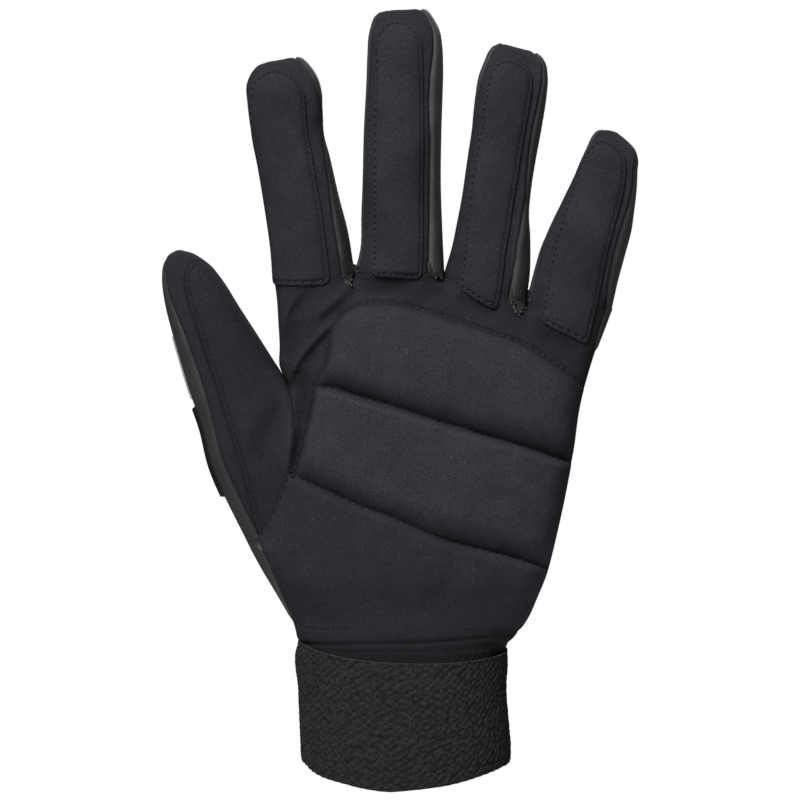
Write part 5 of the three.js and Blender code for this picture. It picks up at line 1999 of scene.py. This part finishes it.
# The gathered wrist: its heights, how far it is drawn in and where, its folds by level, slope, depth and
# width, its gathers, and its painted shade inside the cuff and in its folds
GATHER_GRID = (70, 480)
GATHER_FOOT = 31.0
GATHER_HEAD = PALM_BOTTOM + 0.1
GATHER_THICKNESS = 0.8 * MM
GATHER_DRAW = 2.4
GATHER_DRAWN = (36, 43)
GATHER_RECESS = 0.6
GATHER_RECESSED = (33, 42)
GATHER_FOLDS = ((42.2, 1.1, 0.4, 0.8), (39.6, 0.4, 0.15, 0.8))
GATHER_COUNT = 46
GATHER_HEIGHT = 0.03
GATHER_FADE = (40, 45)
GATHER_SETTLE = (PALM_BOTTOM - 2.5, PALM_BOTTOM)
GATHER_SHADE = 0.3
GATHER_SHADED = (40, 47)
GATHER_FOLD_SHADE = 0.4


def make_gather():
    """The gathered wrist: below the palm the hand's own oval, drawn in to fit inside the cuff, with
    level folds and small upright gathers. It bends between the hand and the cuff."""
    rows, columns = GATHER_GRID
    angle = turns(columns)[None, :]
    z = np.linspace(GATHER_FOOT, GATHER_HEAD, rows)[:, None] + 0 * angle
    left, right = np.interp(z, *FRONT_LEFT), np.interp(z, *RIGHT_EDGE)
    height = np.maximum(z, HAND_HEIGHTS[0])
    front, back = (smooth(HAND_HEIGHTS, depths, height) for depths in (FRONT_DEPTHS, BACK_DEPTHS))
    depth = np.where(np.cos(angle) > 0, front, back)
    side = np.sin(angle) + 1.4 * np.sin(angle).clip(0) ** 2
    folds = sum(deep * bell(z - level - slope * side, wide) for level, slope, deep, wide in GATHER_FOLDS)
    gathers = np.sin(GATHER_COUNT * angle + 2 * np.sin(9 * angle)) * (1 - ease(*GATHER_FADE, z))
    lift = (GATHER_HEIGHT * gathers - folds) * (1 - ease(*GATHER_SETTLE, z))
    drawn = GATHER_DRAW * (1 - ease(*GATHER_DRAWN, z)) - lift
    recess = GATHER_RECESS * (1 - ease(*GATHER_RECESSED, z)) - lift
    x, y = oval_ring(angle, left + drawn, right - drawn, depth - recess)
    points, middle = packed(x, y, z), at_depth(0 * z, z, 0)
    # Painted shade low in the gather, inside the cuff, and in its folds
    tone = 1 - GATHER_SHADE * (1 - ease(*GATHER_SHADED, z))
    tone = tone * (1 - GATHER_FOLD_SHADE * folds.clip(0, 1))
    piece = skin("wrist_gather", points, middle, GATHER_THICKNESS, "suede", "elastic", wraps=True, tone=tone)
    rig.replaces(piece, "wrist_elastic")
    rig.blend(piece, "hand", "cuff", start=(0, 0, 42.5 * MM), end=(0, 0, 34.5 * MM))


# Stage

def power(name, description, watts):
    """A lamp's power that a user may change."""
    return FloatProperty(name=name, description=description, default=watts, unit="POWER")


class StageSettings(PropertyGroup):
    """Camera and lights of the studio."""

    distance: FloatProperty(name="Distance", description="Camera to glove", default=1.1, unit="LENGTH")
    height: FloatProperty(name="Elevation", description="Camera above level", default=np.radians(2.0),
                          subtype="ANGLE")
    key: power("Key light", "Power of the large soft lamp", 24.0)
    fill: power("Fill light", "Power of the lamp in front", 1.0)
    rim: power("Rim light", "Power of the lamp behind", 5.0)
    sky: FloatProperty(name="Room light", description="Strength of the light from all round", default=0.1)


# The photograph's middle and width in millimetres, and in metres each lamp's place and size and the floor
PHOTO_CENTRE = (-1.55, 116.25)
PHOTO_SPAN = 248.0
LAMPS = {
    "key": ((-0.42, -0.9, 1.08), 0.45),
    "fill": ((0.5, -1.2, 0.25), 1.0),
    "rim": ((0.3, 0.9, 0.9), 0.8),
}
FLOOR_DROP = 0.2
FLOOR_HALF = 0.36
FLOOR_POINTS = 9
FLOOR_GREY = 0.86
FLOOR_ROUGHNESS = 0.8
WHITE = (1, 1, 1, 1)


def aimed(obj, target):
    """Turns a lamp or camera towards a point."""
    obj.rotation_euler = (Vector(target) - obj.location).to_track_quat("-Z", "Y").to_euler()


def lamp(name, place, target, size, watts):
    """A square soft lamp aimed at a point."""
    light = bpy.data.lights.new(name, "AREA")
    light.size = size
    light.energy = watts
    obj = bpy.data.objects.new(name, light)
    obj.location = place
    bpy.context.scene.collection.objects.link(obj)
    aimed(obj, target)


def make_room(strength):
    """A world that lights evenly at its strength and looks white to the camera and through clear things."""
    scene = bpy.context.scene
    scene.world = scene.world or bpy.data.worlds.new("room")
    scene.world.use_nodes = True
    tree = scene.world.node_tree
    tree.nodes.clear()
    path = tree.nodes.new("ShaderNodeLightPath")
    seen = sums(tree, "MAXIMUM", path.outputs["Is Camera Ray"], path.outputs["Is Transmission Ray"])
    mix = tree.nodes.new("ShaderNodeMixShader")
    tree.links.new(seen, mix.inputs[0])
    for socket, level in zip(mix.inputs[1:], (strength, 1)):
        light = tree.nodes.new("ShaderNodeBackground")
        light.inputs["Color"].default_value = WHITE
        light.inputs["Strength"].default_value = level
        tree.links.new(light.outputs[0], socket)
    out = tree.nodes.new("ShaderNodeOutputWorld")
    tree.links.new(mix.outputs[0], out.inputs["Surface"])


def make_floor():
    """A pale square floor below the glove."""
    x, y = np.meshgrid(*[np.linspace(-FLOOR_HALF, FLOOR_HALF, FLOOR_POINTS)] * 2)
    points = packed(x, y, 0 * x - FLOOR_DROP) / MM
    pale = bpy.data.materials.new("pale_floor")
    pale.use_nodes = True
    shader = pale.node_tree.nodes["Principled BSDF"]
    shader.inputs["Base Color"].default_value = (FLOOR_GREY, FLOOR_GREY, FLOOR_GREY, 1)
    shader.inputs["Roughness"].default_value = FLOOR_ROUGHNESS
    faces = grid_faces(FLOOR_POINTS, FLOOR_POINTS).tolist()
    floor = mesh_object("floor", points, faces, pale, "suede")
    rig.stage(floor)


def make_stage(stage):
    """A camera in front of the palm, three soft lamps, an even room that looks white, and a pale floor."""
    scene = bpy.context.scene
    scene.view_settings.view_transform = "Standard"
    target = np.array((PHOTO_CENTRE[0], 0, PHOTO_CENTRE[1])) * MM
    camera = bpy.data.cameras.new("camera")
    camera.lens = stage.distance * camera.sensor_width / (PHOTO_SPAN * MM)
    eye = bpy.data.objects.new("camera", camera)
    away = np.array((0, -np.cos(stage.height), np.sin(stage.height)))
    eye.location = target + away * stage.distance
    scene.collection.objects.link(eye)
    aimed(eye, target)
    scene.camera = eye
    for name, (place, size) in LAMPS.items():
        lamp(name, place, target, size, getattr(stage, name))
    make_room(stage.sky)
    make_floor()


# Operators

class GLOVE_OT_stage(Operator):
    """Set up the camera, the lamps and the floor"""
    bl_idname = "glove.stage"
    bl_label = "Stage"

    def execute(self, context):
        make_stage(context.scene.glove_stage)
        return {"FINISHED"}


class GLOVE_OT_palm(Operator):
    """Make the palm's padded suede and its stitching"""
    bl_idname = "glove.palm"
    bl_label = "Palm"

    def execute(self, context):
        make_palm(context.scene.glove_sizes)
        return {"FINISHED"}


class GLOVE_OT_pads(Operator):
    """Make the foam pads"""
    bl_idname = "glove.pads"
    bl_label = "Pads"

    def execute(self, context):
        make_pads(context.scene.glove_sizes)
        return {"FINISHED"}


class GLOVE_OT_lining(Operator):
    """Make the palm's lining"""
    bl_idname = "glove.lining"
    bl_label = "Lining"

    def execute(self, context):
        make_lining()
        return {"FINISHED"}


class GLOVE_OT_back(Operator):
    """Make the back of the hand"""
    bl_idname = "glove.back"
    bl_label = "Back"

    def execute(self, context):
        make_back(context.scene.glove_sizes)
        return {"FINISHED"}


class GLOVE_OT_fingers(Operator):
    """Make the fingers' fronts, backs and side strips"""
    bl_idname = "glove.fingers"
    bl_label = "Fingers"

    def execute(self, context):
        make_fingers(context.scene.glove_sizes)
        return {"FINISHED"}


class GLOVE_OT_patches(Operator):
    """Make the finger patches and their stitching"""
    bl_idname = "glove.patches"
    bl_label = "Patches"

    def execute(self, context):
        make_patches(context.scene.glove_sizes)
        return {"FINISHED"}


class GLOVE_OT_thumb(Operator):
    """Make the thumb's front and back"""
    bl_idname = "glove.thumb"
    bl_label = "Thumb"

    def execute(self, context):
        make_thumb(context.scene.glove_sizes)
        return {"FINISHED"}


class GLOVE_OT_guards(Operator):
    """Make the two guards on the thumb"""
    bl_idname = "glove.guards"
    bl_label = "Guards"

    def execute(self, context):
        make_guards(context.scene.glove_sizes)
        return {"FINISHED"}


class GLOVE_OT_gather(Operator):
    """Make the gathered wrist"""
    bl_idname = "glove.gather"
    bl_label = "Wrist"

    def execute(self, context):
        make_gather()
        return {"FINISHED"}


class GLOVE_OT_cuff(Operator):
    """Make the knitted cuff and its inner layer"""
    bl_idname = "glove.cuff"
    bl_label = "Cuff"

    def execute(self, context):
        make_cuff(context.scene.glove_sizes)
        return {"FINISHED"}


OPERATORS = (GLOVE_OT_stage, GLOVE_OT_palm, GLOVE_OT_pads, GLOVE_OT_lining, GLOVE_OT_back, GLOVE_OT_fingers,
             GLOVE_OT_patches, GLOVE_OT_thumb, GLOVE_OT_guards, GLOVE_OT_gather, GLOVE_OT_cuff)


class GLOVE_PT_build(Panel):
    """The glove's operators and settings in the sidebar"""
    bl_label = "Padded Glove"
    bl_idname = "GLOVE_PT_build"
    bl_space_type = "VIEW_3D"
    bl_region_type = "UI"
    bl_category = "Glove"

    def draw(self, context):
        for operator in OPERATORS:
            self.layout.operator(operator.bl_idname)
        scene = context.scene
        for settings in (scene.glove_sizes, scene.glove_colours, scene.glove_stage):
            for name in settings.__annotations__:
                self.layout.prop(settings, name)


CLASSES = (GloveSizes, GloveColours, StageSettings, *OPERATORS, GLOVE_PT_build)


def register():
    """Makes the classes and their settings known to Blender."""
    for cls in CLASSES:
        bpy.utils.register_class(cls)
    bpy.types.Scene.glove_sizes = PointerProperty(type=GloveSizes)
    bpy.types.Scene.glove_colours = PointerProperty(type=GloveColours)
    bpy.types.Scene.glove_stage = PointerProperty(type=StageSettings)


def unregister():
    """Takes the classes and their settings out again."""
    del bpy.types.Scene.glove_stage
    del bpy.types.Scene.glove_colours
    del bpy.types.Scene.glove_sizes
    for cls in reversed(CLASSES):
        bpy.utils.unregister_class(cls)


def main():
    """Builds the whole glove and writes the boxes of the frame and of the finished glove."""
    register()
    for operator in OPERATORS:
        group, name = operator.bl_idname.split(".")
        getattr(getattr(bpy.ops, group), name)()
    boxes = {"cad": CAD_BOX, "visual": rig.bounds()}
    SIZE_FILE.write_text(json.dumps({key: [list(corner) for corner in box] for key, box in boxes.items()}))


if __name__ == "__main__":
    main()
